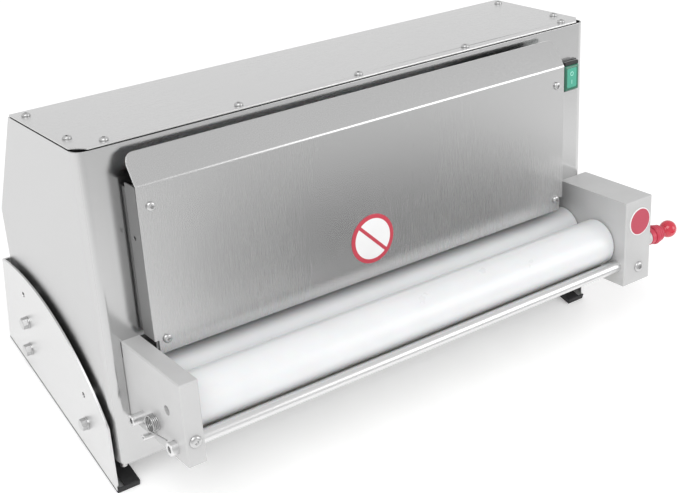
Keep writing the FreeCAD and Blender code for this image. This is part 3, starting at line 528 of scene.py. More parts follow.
def carve(piece: Piece, *tools: Piece, keep_common: bool = False) -> None:
    """Cut tools out of a piece and throw the tools away.

    Args:
        piece: object to work on.
        tools: closed solids to take away.
        keep_common: keep only what the piece and the tool share.
    """
    for tool in tools:
        apply_modifier(piece, "BOOLEAN", object=tool, solver="EXACT",
                       operation="INTERSECT" if keep_common else "DIFFERENCE")
        bpy.data.objects.remove(tool)


def join(name: str, pieces: Sequence[Piece]) -> Piece:
    """Join pieces into one object.

    Args:
        name: the joined piece's name.
        pieces: objects to join.

    Returns:
        The joined object.
    """
    activate(pieces[0])
    for piece in pieces[1:]:
        piece.select_set(True)
    if len(pieces) > 1:
        bpy.ops.object.join()
    joined = bpy.context.view_layer.objects.active
    joined.name = name
    return joined


def spread_copies(name: str, master: Piece, places: Iterable[Point]) -> Piece:
    """Copy a piece made at the origin to several places, and join the copies.

    Args:
        name: the joined piece's name.
        master: piece made at the origin.
        places: places in mm.

    Returns:
        The joined object.
    """
    copies = []
    for place in places:
        twin = master.copy()
        twin.data = master.data.copy()
        bpy.context.scene.collection.objects.link(twin)
        twin.matrix_world = Matrix.Translation(Vector(place) * MM)
        settle(twin)
        copies.append(twin)
    bpy.data.objects.remove(master)
    return join(name, copies)


def copy_node(node: str) -> Piece:
    """Copy a packed sub-part's mesh, with its triangles merged into whole faces.

    Args:
        node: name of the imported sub-part.

    Returns:
        The copy, in the upright frame, named after the sub-part.
    """
    source = frame["nodes"][node]
    mesh = source.data.copy()
    mesh.materials.clear()
    piece = bpy.data.objects.new(f"{node}_piece", mesh)
    bpy.context.scene.collection.objects.link(piece)
    activate(piece)
    bpy.ops.object.mode_set(mode="EDIT")
    bpy.ops.mesh.select_all(action="SELECT")
    bpy.ops.mesh.remove_doubles(threshold=COPY_SEAM_MM * MM)
    bpy.ops.mesh.customdata_custom_splitnormals_clear()
    bpy.ops.mesh.dissolve_limited(angle_limit=math.radians(COPY_FLAT_DEGREES))
    bpy.ops.object.mode_set(mode="OBJECT")
    piece.matrix_world = LEANED.inverted()
    settle(piece)
    return piece


def hand_over(piece: Piece, body: str, nodes: Sequence[str], material: Material,
              smooth: float = SMOOTH_DEGREES) -> Piece:
    """Finish a piece: lean it, shade it, dress it and fix it to its body.

    Args:
        piece: finished shape.
        body: body that it rides on.
        nodes: packed sub-parts that it stands for.
        material: its finish.
        smooth: edges flatter than this many degrees are shaded smooth.

    Returns:
        The piece.
    """
    piece.matrix_world = LEANED @ piece.matrix_world
    settle(piece)
    bpy.ops.object.shade_smooth_by_angle(angle=math.radians(smooth))
    apply_modifier(piece, "WEIGHTED_NORMAL", mode="FACE_AREA", weight=50, keep_sharp=True)
    if not piece.data.materials:
        piece.data.materials.append(material)
    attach(piece, body)
    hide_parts(*nodes)
    LOG.info("%s stands for %s on %s", piece.name, ", ".join(nodes), body)
    return piece


def soften_node(node: str, body: str, material: Material, edge: float, segments: int = 2) -> None:
    """Hand over a packed sub-part with its edges softened.

    Args:
        node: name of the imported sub-part.
        body: body that it rides on.
        material: its finish.
        edge: width of the softened edge in mm.
        segments: number of runs round the edge.
    """
    piece = copy_node(node)
    break_edges(piece, edge, segments)
    hand_over(piece, body, [node], material)


def hand_over_fasteners(piece: Piece, node: str, finishes: "Finishes") -> None:
    """Fix a set of fasteners to the machine in their own finish.

    Args:
        piece: the joined fasteners.
        node: packed sub-part that they stand for.
        finishes: every finish of the machine.
    """
    hand_over(piece, "machine", [node], finishes.fastener)


def paint_faces(piece: Piece, materials: Sequence[Material],
                choose: Callable[[Vector, Vector], int]) -> None:
    """Give each face of a piece one of several finishes.

    Args:
        piece: object to dress, in the upright frame.
        materials: its finishes.
        choose: told a face's middle in mm and its normal, returns the finish's index.
    """
    for material in materials:
        piece.data.materials.append(material)
    for polygon in piece.data.polygons:
        polygon.material_index = choose(polygon.center / MM, polygon.normal)


# ------------------------------------------------------------------ fasteners


class Socket(Enum):
    """Shape pressed or milled into a screw's head."""

    CROSS = "cross"
    HEXAGON = "hexagon"


@dataclass
class ScrewHead:
    """Round screw head with a domed top and a driver socket, made along +Z and then turned."""

    axis: str
    radius: float
    height: float
    socket: Socket = Socket.CROSS
    socket_size: float = 1.7
    socket_depth: float = 1.5
    dome: float = 0.55
    crown: float = 0.42
    skirt: float = 0.94
    skirt_high: float = 0.25
    shank: float = 0.5
    sunk: float = 0.4
    slot_share: float = 0.26
    sides: int = 40

    def build(self, name: str) -> Piece:
        """Return the head, seated at the origin and facing along its axis.

        Args:
            name: the piece's name.
        """
        rise = self.height * self.dome
        crown = self.radius * self.crown
        steps = [(-self.sunk, self.radius * self.shank), (0.02, self.radius * self.skirt),
                 (self.skirt_high, self.radius)]
        for share in (0.0, 0.2, 0.4, 0.6, 0.8, 0.92):
            turn = math.radians(90 * share)
            steps.append((self.height - rise + rise * math.sin(turn),
                          crown + (self.radius - crown) * math.cos(turn)))
        steps += [(self.height, crown), (self.height, 0.0)]
        head = lathe(name, "+z", (0, 0, 0), steps, sides=self.sides)
        floor = self.height - self.socket_depth
        if self.socket is Socket.CROSS:
            thin, wide = self.slot_share * self.socket_size, self.socket_size
            carve(head, block("slot", (-wide, -thin, floor), (wide, thin, self.height + 1)))
            carve(head, block("slot", (-thin, -wide, floor), (thin, wide, self.height + 1)))
        else:
            carve(head, prism("key", "+z", self.socket_size, self.socket_depth + 1, (0, 0, floor), sides=6))
        head.matrix_world = aim(self.axis, (0, 0, 0))
        settle(head)
        return head


@dataclass
class HexBolt:
    """Hexagon head on a thin washer, with the turned chamfer that rounds off its corners."""

    axis: str
    flats: float = 10.0
    washer_thick: float = 1.2
    height: float = 5.0
    rim_share: float = 0.62
    rim_round: float = 0.2
    edge: float = 0.12

    def build(self, name: str) -> Piece:
        """Return the bolt's head and washer, seated at the origin and facing along its axis.

        Args:
            name: the piece's name.
        """
        corner = self.flats / math.sqrt(3)
        low, high = self.washer_thick, self.washer_thick + self.height
        head = prism(name, "+z", corner, self.height, (0, 0, low), sides=6)
        chamfer = lathe("chamfer", "+z", (0, 0, 0), [
            (low - 1, corner * 1.2), (high - 1.4, corner * 1.12), (high - 0.05, self.flats * 0.47),
            (high + 0.6, self.flats * 0.42)])
        carve(head, chamfer, keep_common=True)
        break_edges(head, self.edge, 1)
        rim, soft = self.rim_share * self.flats, self.rim_round
        washer = lathe("washer", "+z", (0, 0, 0), [
            (0.0, rim - soft), (soft, rim), (low - 0.25, rim), (low, rim - 0.25), (low, 3.0),
            (low + 0.2, 0.0)])
        bolt = join(name, [head, washer])
        bolt.matrix_world = aim(self.axis, (0, 0, 0))
        settle(bolt)
        return bolt


# ------------------------------------------------------------------ the finishes in use


def made(finish: BrushedMetal | BlastedAlloy | Moulded) -> Material:
    """Return a dataclass field whose value is the material that a finish makes.

    Args:
        finish: the finish to make once.

    Returns:
        The field.
    """
    return field(default_factory=finish.make)


@dataclass
class Finishes:
    """Every finish of the machine, made once."""

    # the housing sheets are one steel; their tones differ by face as painted light and shade, with the lid
    # painted lighter than the front panel and the sides given their own tone
    lid_sheet: Material = made(BrushedMetal("brushed_sheet_lid", 0.76, 0.28))
    front_sheet: Material = made(BrushedMetal("brushed_sheet_front", 0.58, 0.20))
    bracket_sheet: Material = made(BrushedMetal("brushed_sheet_bracket", 0.72, 0.34, Grain.ALONG_Y))
    side_sheet: Material = made(BrushedMetal("brushed_sheet_side", 0.60, 0.32, Grain.ALONG_Y))
    chute_sheet: Material = made(BrushedMetal(
        "brushed_sheet_chute", 0.60, 0.27, Grain.ALONG_Z, relief_mm=0.0005))
    alloy: Material = made(BlastedAlloy("blasted_block_alloy"))
    # the chute's steel painted darker as painted shade and painted reflection of the dark surroundings, for
    # the flanges and the hidden frames
    painted_shade_sheet: Material = made(BrushedMetal("painted_shade_flange_sheet", 0.34, 0.42, Grain.ALONG_Z))
    roller: Material = made(Moulded(
        "white_roller_plastic", (0.80, 0.81, 0.82), 0.32, 0.02, 300.0, 0.006, coat=0.15, subsurface=0.15))
    rod: Material = made(BrushedMetal("ground_rod_steel", 0.76, 0.33, relief_mm=0.006))
    gear: Material = made(BrushedMetal("hobbed_gear_steel", 0.45, 0.35, Grain.EVEN, 0.01))
    bronze: Material = made(BrushedMetal("bearing_bronze", 0.55, 0.35, Grain.EVEN, 0.14))
    fastener: Material = made(BrushedMetal(
        "bright_fastener_steel", 0.60, 0.28, Grain.EVEN, relief_mm=0.004))
    spring: Material = made(BrushedMetal("drawn_spring_wire", 0.48, 0.30, Grain.EVEN, relief_mm=0.004))
    scraper: Material = made(Moulded("ivory_scraper_plastic", (0.72, 0.71, 0.66), 0.45))
    rubber: Material = made(Moulded("black_foot_rubber", (0.012, 0.012, 0.013), 0.62, 0.2, 700.0, 0.03))
    ball: Material = made(Moulded(
        "glossy_red_ball", (0.62, 0.022, 0.05), 0.16, 0.04, 400.0, 0.004, coat=0.6))
    sleeve: Material = made(Moulded("ribbed_red_sleeve", (0.60, 0.05, 0.09), 0.38, 0.06, 900.0, 0.012))
    disc: Material = made(Moulded("satin_red_disc", (0.52, 0.065, 0.105), 0.45, 0.03))
    sign_red: Material = made(Moulded("printed_red", (0.55, 0.045, 0.075), 0.35, 0.03))
    sign_white: Material = made(Moulded("printed_white", (0.86, 0.86, 0.86), 0.35, 0.02))
    black: Material = made(Moulded("black_switch_plastic", (0.016, 0.016, 0.017), 0.35, 0.1))
    green: Material = made(Moulded("green_hood_plastic", (0.025, 0.16, 0.10), 0.25, 0.08, coat=0.4))
    mint: Material = made(Moulded("mint_rocker_plastic", (0.06, 0.42, 0.29), 0.3, 0.05, coat=0.3))
    pale_mint: Material = made(Moulded("pale_mark_print", (0.45, 0.88, 0.76), 0.4, 0.03))
    motor: Material = made(Moulded("grey_motor_enamel", (0.12, 0.14, 0.16), 0.45, 0.08, 500.0, 0.03))
    gearbox: Material = made(BlastedAlloy("cast_gearbox_alloy", 0.55, 0.5))
    capacitor: Material = made(Moulded("pale_capacitor_shell", (0.62, 0.62, 0.60), 0.4))


# ------------------------------------------------------------------ sub-assemblies


@dataclass
class Housing:
    """Folded shell, lid, rear cover, floor plate and their screws."""

    finishes: Finishes
    edge: float = 0.35
    top: float = 174.0
    rear: float = 194.0
    lid_screws: tuple[Step, ...] = (
        (31, 9.6), (158, 9.6), (285.5, 9.6), (413, 9.6), (541, 9.6), (10.5, 35), (10.5, 119), (555.5, 35),
        (555.5, 119))

    def sheet(self, node: str, edge: float) -> None:
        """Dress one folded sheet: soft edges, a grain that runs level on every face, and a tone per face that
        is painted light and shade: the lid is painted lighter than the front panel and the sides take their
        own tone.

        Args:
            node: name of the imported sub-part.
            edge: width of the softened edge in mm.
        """
        piece = copy_node(node)
        break_edges(piece, edge)
        flat = self.finishes.lid_sheet if node == "top_lid" else self.finishes.front_sheet
        # faces across x take the side sheet, with its own grain along y and its own painted tone; the lid
        # takes its lighter painted tone: painted light and shade per face
        paint_faces(piece, (flat, self.finishes.side_sheet), lambda middle, normal: int(abs(normal.x) > 0.7))
        hand_over(piece, "machine", [node], self.finishes.front_sheet)

    def screws(self) -> None:
        """Place the pan heads on the lid and the rear cover."""
        lid = spread_copies("lid_screw_heads", ScrewHead("+z", 4.0, 2.5).build("lid_screw"),
                            [(x, y, self.top) for x, y in self.lid_screws])
        rear = spread_copies("rear_screw_heads", ScrewHead("+y", 4.0, 2.5).build("rear_screw"),
                             [(x, self.rear, z) for x in (12, 283, 554) for z in (-50, 60)])
        screws = join("housing_screws_piece", [lid, rear])
        hand_over_fasteners(screws, "housing_screws", self.finishes)

    def gland(self) -> None:
        """Soften the cable gland's edges."""
        soften_node("cable_gland", "machine", self.finishes.black, 0.4)

    def build(self) -> None:
        """Build every piece of the housing."""
        for node in ("housing_shell", "top_lid", "rear_cover", "base_plate"):
            self.sheet(node, self.edge)
        self.screws()
        self.gland()


@dataclass
class SideBrackets:
    """Arched side plates with their rubber feet, spacers and hexagon bolts."""

    finishes: Finishes
    bolts: tuple[Step, ...] = ((159.4, -35.5), (163.8, -65.6), (48.3, -94.2))
    left_face: float = -6.0
    right_face: float = 572.0
    foot_start: Step = (0.6, -142.0)
    foot_run: Step = (217.4, 70.0)
    cap_long: float = 1.0
    cap_low: float = -2.2
    cap_high: float = 4.1

    def capped_strip(self, node: str) -> Piece:
        """Soften a foot strip and close its front end with a moulded cap.

        Args:
            node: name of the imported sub-part.

        Returns:
            The strip.
        """
        strip = copy_node(node)
        break_edges(strip, 0.7, 3)
        sides = [vertex.co.x / MM for vertex in strip.data.vertices]
        cap = block("front_cap", (min(sides), -self.cap_long, self.cap_low), (max(sides), 0.3, self.cap_high))
        run, rise = self.foot_run
        cap.matrix_world = (Matrix.Translation(Vector((0, *self.foot_start)) * MM)
                            @ Matrix.Rotation(math.atan2(rise, run), 4, "X"))
        settle(cap)
        break_edges(cap, 0.5, 3)
        return join(strip.name, [strip, cap])

    def build(self) -> None:
        """Build both brackets and what holds them."""
        for side in ("left", "right"):
            soften_node(f"{side}_bracket", "machine", self.finishes.bracket_sheet, 0.4)
            strip = self.capped_strip(f"{side}_foot_strip")
            hand_over(strip, "machine", [f"{side}_foot_strip"], self.finishes.rubber)
        left = spread_copies("left_bolts", HexBolt("-x").build("left_bolt"),
                             [(self.left_face, y, z) for y, z in self.bolts])
        right = spread_copies("right_bolts", HexBolt("+x").build("right_bolt"),
                              [(self.right_face, y, z) for y, z in self.bolts])
        hand_over_fasteners(join("bracket_bolts_piece", [left, right]), "bracket_bolts", self.finishes)
        soften_node("bracket_spacers", "machine", self.finishes.fastener, 0.2, 1)


@dataclass
class FeedChute:
    """Feed plate with its leaning lip and side flanges, its screws and the round sign."""

    finishes: Finishes
    left: float = 36.5
    right: float = 512.0
    face: float = -25.0
    thick: float = 1.5
    bottom: float = -11.0
    step: float = 2.0
    step_in: float = 4.0
    bend: float = 141.0
    top: float = 165.0
    lean_back: float = 16.0
    corner: float = 9.0
    flange: float = 19.0
    edge: float = 0.4
    bend_round: float = 1.2
    hang_radius: float = 2.0
    hang_back: float = 13.0
    hang_up: float = 93.0
    screws: tuple[Point, ...] = ((47.9, -25, 122), (502, -25, 123), (502, -25, 1.5), (48.2, -25, 1.8))
    sign: Point = (267.0, -25.0, 28.0)
    sign_radius: float = 24.0
    ring_inner: float = 20.0
    field_radius: float = 21.4
    bar_half: Step = (20.4, 1.7)

    def plate(self) -> None:
        """Shape the feed plate from a flat sheet: bend the lip back, round its corners, add the flanges."""
        plate = block("chute_plate_piece", (self.left, self.face, self.bottom),
                      (self.right, self.face + self.thick, self.top))
        pick(plate, "FACE", lambda middle, normal: True)
        bpy.ops.mesh.bisect(plane_co=(0, 0, self.bend * MM), plane_no=(0, 0, 1))
        leave()
        pick(plate, "VERT", lambda place, normal: place.z > self.top - 1)
        bpy.ops.transform.translate(value=(0, self.lean_back * MM, 0))
        leave()
        round_edges(plate, self.corner, lambda middle, run: (
            middle.z > self.top - 1 and abs(run.x) < 0.1
            and min(abs(middle.x - self.left), abs(middle.x - self.right)) < 0.1), 10)
        for low, high in ((self.left - 1, self.left + self.step_in),
                          (self.right - self.step_in, self.right + 1)):
            carve(plate, block("notch", (low, self.face - 2, self.bottom - 2),
                               (high, self.face + 4, self.step)))
        round_edges(plate, self.bend_round, lambda middle, run: (
            abs(middle.z - self.bend) < 0.2 and abs(run.x) > 100), 4)
        break_edges(plate, self.edge)
        flanges = []
        for start in (self.left, self.right - self.thick):
            flange = block("flange", (start, self.face + 0.3, self.step + 0.4),
                           (start + self.thick, self.face + self.flange + 0.2, self.bend - 0.6))
            hole = (start - 2, self.face + self.hang_back, self.hang_up)
            carve(flange, prism("hole", "+x", self.hang_radius, 6, hole, 24))
            break_edges(flange, self.edge)
            # the flanges take the steel painted darker: painted shade and painted reflection of the dark
            # surroundings
            flange.data.materials.append(self.finishes.painted_shade_sheet)
            flanges.append(flange)
        plate.data.materials.append(self.finishes.chute_sheet)
        plate = join("chute_plate_piece", [plate, *flanges])
        hand_over(plate, "machine", ["chute_plate"], self.finishes.chute_sheet)

    def frames(self) -> None:
        """Soften the two hidden frames that carry the plate; they wear the steel painted darker as painted
        shade.
        """
        soften_node("chute_frames", "machine", self.finishes.painted_shade_sheet, 0.25, 1)

    def screw_heads(self) -> None:
        """Place the four pan heads."""
        head = ScrewHead("-y", 4.0, 2.5).build("chute_screw")
        heads = spread_copies("chute_screws_piece", head, self.screws)
        hand_over_fasteners(heads, "chute_screws", self.finishes)

    def round_sign(self) -> None:
        """Print a plain red ring and bar on a white disc."""
        field, rim, inner = self.field_radius, self.sign_radius, self.ring_inner
        disc = lathe("sign_field", "-y", self.sign, [
            (0, field), (0.42, field), (0.5, field - 0.4), (0.5, 0)], 72)
        ring = lathe("sign_ring", "-y", self.sign, [
            (0, rim), (0.48, rim), (0.6, rim - 0.2), (0.6, inner - 0.1), (0.45, inner - 0.2), (0.45, 0)], 72)
        long, wide = self.bar_half
        bar = block("sign_bar", (-long, -0.58, -wide), (long, -0.1, wide))
        break_edges(bar, 0.1, 1)
        slant = Matrix.Rotation(math.radians(45), 4, "Y")
        bar.matrix_world = Matrix.Translation(Vector(self.sign) * MM) @ slant
        settle(bar)
        for piece, finish in ((disc, self.finishes.sign_white), (ring, self.finishes.sign_red),
                              (bar, self.finishes.sign_red)):
            piece.data.materials.append(finish)
        carve(ring, lathe("field_hole", "-y", self.sign, [(-1, inner), (2, inner)], 72))
        hand_over(join("sign_disc_piece", [disc, ring, bar]), "machine", ["sign_disc"],
                  self.finishes.sign_red)

    def build(self) -> None:
        """Build the chute."""
        self.plate()
        self.frames()
        self.screw_heads()
        self.round_sign()


@dataclass
class RollerBlocks:
    """Left block, right gear case, its outer cover, and their screws."""

    finishes: Finishes
    edge: float = 0.7
    disc: Point = (554.0, -93.0, -17.0)
    disc_print: float = 13.7

    def soft_block(self, node: str, body: str = "machine") -> None:
        """Round a block's long outer edges and leave its bores crisp.

        Args:
            node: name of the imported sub-part.
            body: body that it rides on.
        """
        piece = copy_node(node)
        round_edges(piece, self.edge, lambda middle, run: (
            run.length > 5 and sorted(abs(part) for part in run)[1] < 0.01 * run.length), 3)
        hand_over(piece, body, [node], self.finishes.alloy, smooth=32)

    def build(self) -> None:
        """Build the blocks and their trim."""
        self.soft_block("left_block")
        self.soft_block("right_block")
        self.soft_block("gear_case_cover")
        heads = spread_copies("cover_screws_piece", ScrewHead(
            "+x", 3.5, 3.9, Socket.HEXAGON, 1.8, 2.4, 0.25).build("cover_screw"),
            [(571.7, y, z) for y, z in ((-84.5, -76), (-8.5, -76), (-84.5, -2), (-8.5, -2))])
        hand_over_fasteners(heads, "cover_screws", self.finishes)
        front = spread_copies("block_front_screws_piece", ScrewHead(
            "-y", 5.6, 2.5, Socket.HEXAGON, 2.2, 1.6, 0.8).build("front_screw"),
            [(25.5, -101, -54.1), (555, -93, -67.8)])
        hand_over_fasteners(front, "block_front_screws", self.finishes)
        x, _, z = self.disc
        disc = lathe("red_disc_piece", "-y", self.disc, [
            (0, 14.75), (0.5, 14.75), *arc(0.5, 14.45, 0.3, 0, 90, 3), (0.8, self.disc_print), (0.8, 0)], 72)
        paint_faces(disc, (self.finishes.disc, self.finishes.sign_white), lambda middle, normal: (
            math.hypot(middle.x - x, middle.z - z) > self.disc_print))
        hand_over(disc, "machine", ["red_disc"], self.finishes.disc)


@dataclass
class Rollers:
    """The two white rollers with rounded ends."""

    finishes: Finishes
    start: float = 35.0
    length: float = 498.6
    radius: float = 24.0
    height: float = -45.0
    end_round: float = 2.0
    axes: tuple[tuple[str, str, float], ...] = (
        ("rear_roller", "rear_roller_set", -6.4), ("front_roller", "front_roller_set", -55.2))

    def build(self) -> None:
        """Turn both rollers."""
        flat = self.radius - self.end_round
        for node, body, across in self.axes:
            steps = [(0.0, 8.05), *arc(self.end_round, flat, self.end_round, -90, 0),
                     *arc(self.length - self.end_round, flat, self.end_round, 0, 90), (self.length, 8.05)]
            roller = lathe(f"{node}_piece", "+x", (self.start, across, self.height), steps, 128)
            hand_over(roller, body, [node], self.finishes.roller)


@dataclass
class SprungScraper:
    """Scraper rod with its hollow end, the torsion spring and the two posts that hold it."""

    finishes: Finishes
    rod: Point = (10.3, -82.0, -64.8)
    rod_length: float = 528.0
    coil: Point = (9.0, -52.0, -54.0)
    coil_radius: float = 7.0
    wire: float = 0.7
    pitch: float = 1.5
    turns: int = 4
    steps_a_turn: int = 48
    long_leg: Point = (3.5, -23.5, 1.0)
    short_leg: Point = (-2.0, 20.5, -3.5)
    anchor: Point = (4.8, -25.7, -61.6)
    stop: Point = (4.8, -46.0, -68.5)
    post_long: float = 20.0

    def rod_piece(self) -> None:
        """Turn the rod, drill its end and its cross hole, and mill the flat for the blade."""
        x, y, z = self.rod
        rod = lathe("front_scraper_rod_piece", "+x", self.rod, [
            (5, 3.0), (0.4, 3.0), (0.0, 3.4), *arc(0.6, 5.4, 0.6, -90, 0, 4), (self.rod_length, 6.0)], 64)
        carve(rod, prism("cross_hole", "+z", 1.0, 16, (x + 5, y + 2, z - 8), 20))
        carve(rod, block("flat", (36, y - 2, -73), (533.6, y + 8, -69.3)))
        hand_over(rod, "front_scraper", ["front_scraper_rod"], self.finishes.rod)

    def blade(self) -> None:
        """Soften the blade."""
        soften_node("front_scraper_blade", "front_scraper", self.finishes.scraper, 0.25, 2)

    def spring(self) -> None:
        """Wind the torsion spring as a true helix with a leg at each end."""
        deselect()
        bpy.ops.mesh.primitive_circle_add(vertices=16, radius=self.wire * MM, fill_type="NOTHING",
                                          location=(0, 0, -self.coil_radius * MM),
                                          rotation=(math.radians(90), 0, 0))
        wire = bpy.context.object
        wire.name = "scraper_spring_piece"
        settle(wire)
        apply_modifier(wire, "SCREW", axis="X", angle=math.tau * self.turns,
                       screw_offset=self.pitch * self.turns * MM, steps=self.steps_a_turn * self.turns,
                       render_steps=self.steps_a_turn * self.turns, use_merge_vertices=False, iterations=1)
        wire.matrix_world = Matrix.Translation(Vector(self.coil) * MM)
        settle(wire)
        x, y, z = self.coil
        ends = ((x, self.long_leg), (x + self.pitch * self.turns, self.short_leg))
        for end_x, run in ends:
            pick(wire, "VERT", lambda place, normal: (
                abs(place.x - end_x) < self.wire + 0.05 and abs(place.y - y) < 0.3
                and abs(place.z - z + self.coil_radius) < self.wire + 0.1
                and abs((place - Vector((end_x, y, z - self.coil_radius))).length - self.wire) < 0.03))
            bpy.ops.mesh.extrude_region_move(TRANSFORM_OT_translate={"value": Vector(run) * MM})
            bpy.ops.mesh.edge_face_add()
            leave()
        activate(wire)
        bpy.ops.object.mode_set(mode="EDIT")
        bpy.ops.mesh.select_all(action="SELECT")
        bpy.ops.mesh.remove_doubles(threshold=0.005 * MM)
        bpy.ops.mesh.normals_make_consistent(inside=False)
        leave()
        hand_over(wire, "machine", ["scraper_spring"], self.finishes.spring, smooth=50)

    def posts(self) -> None:
        """Turn the hollow anchor post and the smaller stop pin."""
        anchor = lathe("anchor_post", "+x", self.anchor, [
            (6, 2.6), (0.3, 2.6), (0.0, 2.9), *arc(0.5, 4.45, 0.5, -90, 0, 4), (self.post_long, 4.95)], 48)
        stop = lathe("stop_pin", "+x", self.stop, [
            (5, 1.2), (0.2, 1.2), (0.0, 1.4), *arc(0.35, 2.2, 0.35, -90, 0, 4), (self.post_long, 2.55)], 32)
        hand_over(join("spring_posts_piece", [anchor, stop]), "machine", ["spring_posts"], self.finishes.rod)

    def build(self) -> None:
        """Build the scraper's pieces."""
        self.rod_piece()
        self.blade()
        self.spring()
        self.posts()


@dataclass
class ThicknessLever:
    """Outside arm, collar, ribbed red sleeve and glossy ball of the thickness lever."""

    finishes: Finishes
    handle: Point = (578.4, -83.0, -45.0)
    collar_long: float = 6.0
    ball_from: float = 600.4
    ball_middle: float = 610.0
    ball_radius: float = 9.2
    ribs: int = 3
    rib_pitch: float = 3.5
    rib_half: float = 1.55
    rib_rise: float = 1.1
    first_crest: float = 10.3
    crest_drop: float = 0.75

    def sleeve_steps(self) -> list[Step]:
        """Return the sleeve's outline: rounded ribs that grow smaller towards the ball."""
        steps = [(0.0, 9.2), (0.5, 9.7)]
        for rib in range(self.ribs):
            middle = 1.0 + self.rib_pitch * (rib + 0.5)
            crest = self.first_crest - self.crest_drop * rib
            for turn in (-70, -40, -15, 15, 40, 70):
                lean = math.radians(turn)
                steps.append((middle + self.rib_half * math.sin(lean),
                              crest - self.rib_rise * (1 - math.cos(lean))))
        steps += [(12.4, 7.6), (13.6, 6.7), (14.4, 5.8), (14.6, 5.2), (14.6, 2.75), (12.2, 2.75), (12.2, 5.2),
                  (0.6, 5.2), (0.6, 0.0)]
        return steps

    def build(self) -> None:
        """Build the lever's outside pieces."""
        soften_node("lever_arm", "thickness_lever", self.finishes.alloy, 0.7, 3)
        x, y, z = self.handle
        collar = lathe("handle_collar_piece", "+x", self.handle, [
            (0, 7.8), *arc(0.6, 8.0, 0.6, -60, 0, 3), *arc(self.collar_long - 0.8, 7.8, 0.8, 0, 90, 5),
            (self.collar_long, 2.6), (0.5, 2.6), (0.5, 0)], 64)
        hand_over(collar, "thickness_lever", ["handle_collar"], self.finishes.sleeve)
        sleeve = lathe("handle_sleeve_piece", "+x", (x + self.collar_long, y, z), self.sleeve_steps(), 72)
        hand_over(sleeve, "thickness_lever", ["handle_sleeve"], self.finishes.sleeve)
        soften_node("plunger_pin", "index_plunger", self.finishes.rod, 0.25, 2)
        centre = self.ball_middle - self.ball_from
        ball = lathe("ball_knob_piece", "+x", (self.ball_from, y, z), [
            (0, 4.3), (0.3, 4.6), *arc(centre, 0.0, self.ball_radius, -60, 90, 24)], 72)
        hand_over(ball, "index_plunger", ["ball_knob"], self.finishes.ball, smooth=60)


@dataclass
class PowerSwitch:
    """Black bezel with its hinge cap, green splash hood with a mint panel, and the rocker."""

    finishes: Finishes
    low: Point = (530.5, -8.0, 106.0)
    high: Point = (550.7, -2.4, 133.0)
    wall: float = 1.0
    corner: float = 2.2
    border: float = 3.6
    sink: float = 0.5
    ring_up: float = 4.2
    ring_radius: float = 2.3
    ring_wide: float = 0.75
    bar_half: float = 0.4
    bar_ends: Step = (-6.4, -2.2)

    def hood(self) -> None:
        """Shape the hood, sink its panel, and print a plain O and I on it."""
        hood = block("switch_hood_piece", self.low, self.high)
        round_edges(hood, self.corner, lambda middle, run: middle.y < self.high[1] - 0.5, 5)
        inner_low = (self.low[0] + self.wall, self.low[1] + 1.6, self.low[2] + self.wall)
        inner_high = (self.high[0] - self.wall, self.high[1] + 1, self.high[2] - self.wall)
        carve(hood, block("hollow", inner_low, inner_high))
        pick(hood, "FACE", lambda middle, normal: normal.y < -0.9 and middle.y < self.low[1] + 0.1)
        bpy.ops.mesh.inset(thickness=(self.border - self.corner) * MM, depth=0)
        bpy.ops.mesh.inset(thickness=self.sink * MM, depth=-self.sink * MM)
        leave()
        x_mid, z_mid = (self.low[0] + self.high[0]) / 2, (self.low[2] + self.high[2]) / 2
        paint_faces(hood, (self.finishes.green, self.finishes.mint), lambda middle, normal: int(
            normal.y < -0.9 and abs(middle.x - x_mid) < 7 and abs(middle.z - z_mid) < 10
            and middle.y > self.low[1] + 0.2 and middle.y < self.low[1] + 1))
        floor = self.low[1] + 0.55
        ring_at = (x_mid, floor, z_mid + self.ring_up)
        outer, inner = self.ring_radius, self.ring_radius - self.ring_wide
        ring = lathe("ring_mark", "-y", ring_at, [(0, outer), (0.25, outer - 0.1), (0.25, 0)], 32)
        carve(ring, lathe("ring_hole", "-y", ring_at, [(-1, inner), (2, inner)], 32))
        foot, head = (z_mid + end for end in self.bar_ends)
        bar = block("bar_mark", (x_mid - self.bar_half, floor - 0.25, foot),
                    (x_mid + self.bar_half, floor + 0.1, head))
        break_edges(bar, 0.08, 1)
        for mark in (ring, bar):
            mark.data.materials.append(self.finishes.pale_mint)
        hand_over(join("switch_hood_piece", [hood, ring, bar]), "machine", ["switch_hood"],
                  self.finishes.green)

    def build(self) -> None:
        """Build the switch."""
        bezel = copy_node("switch_bezel")
        break_edges(bezel, 0.3)
        cap = block("hinge_cap", (531.0, -7.4, 132.6), (550.2, -2.0, 136.6))
        round_edges(cap, 1.2, lambda middle, run: middle.y < -3 or middle.z > 136, 4)
        hand_over(join("switch_bezel_piece", [bezel, cap]), "machine", ["switch_bezel"],
                  self.finishes.black)
        self.hood()
        soften_node("switch_rocker", "rocker", self.finishes.mint, 0.3)


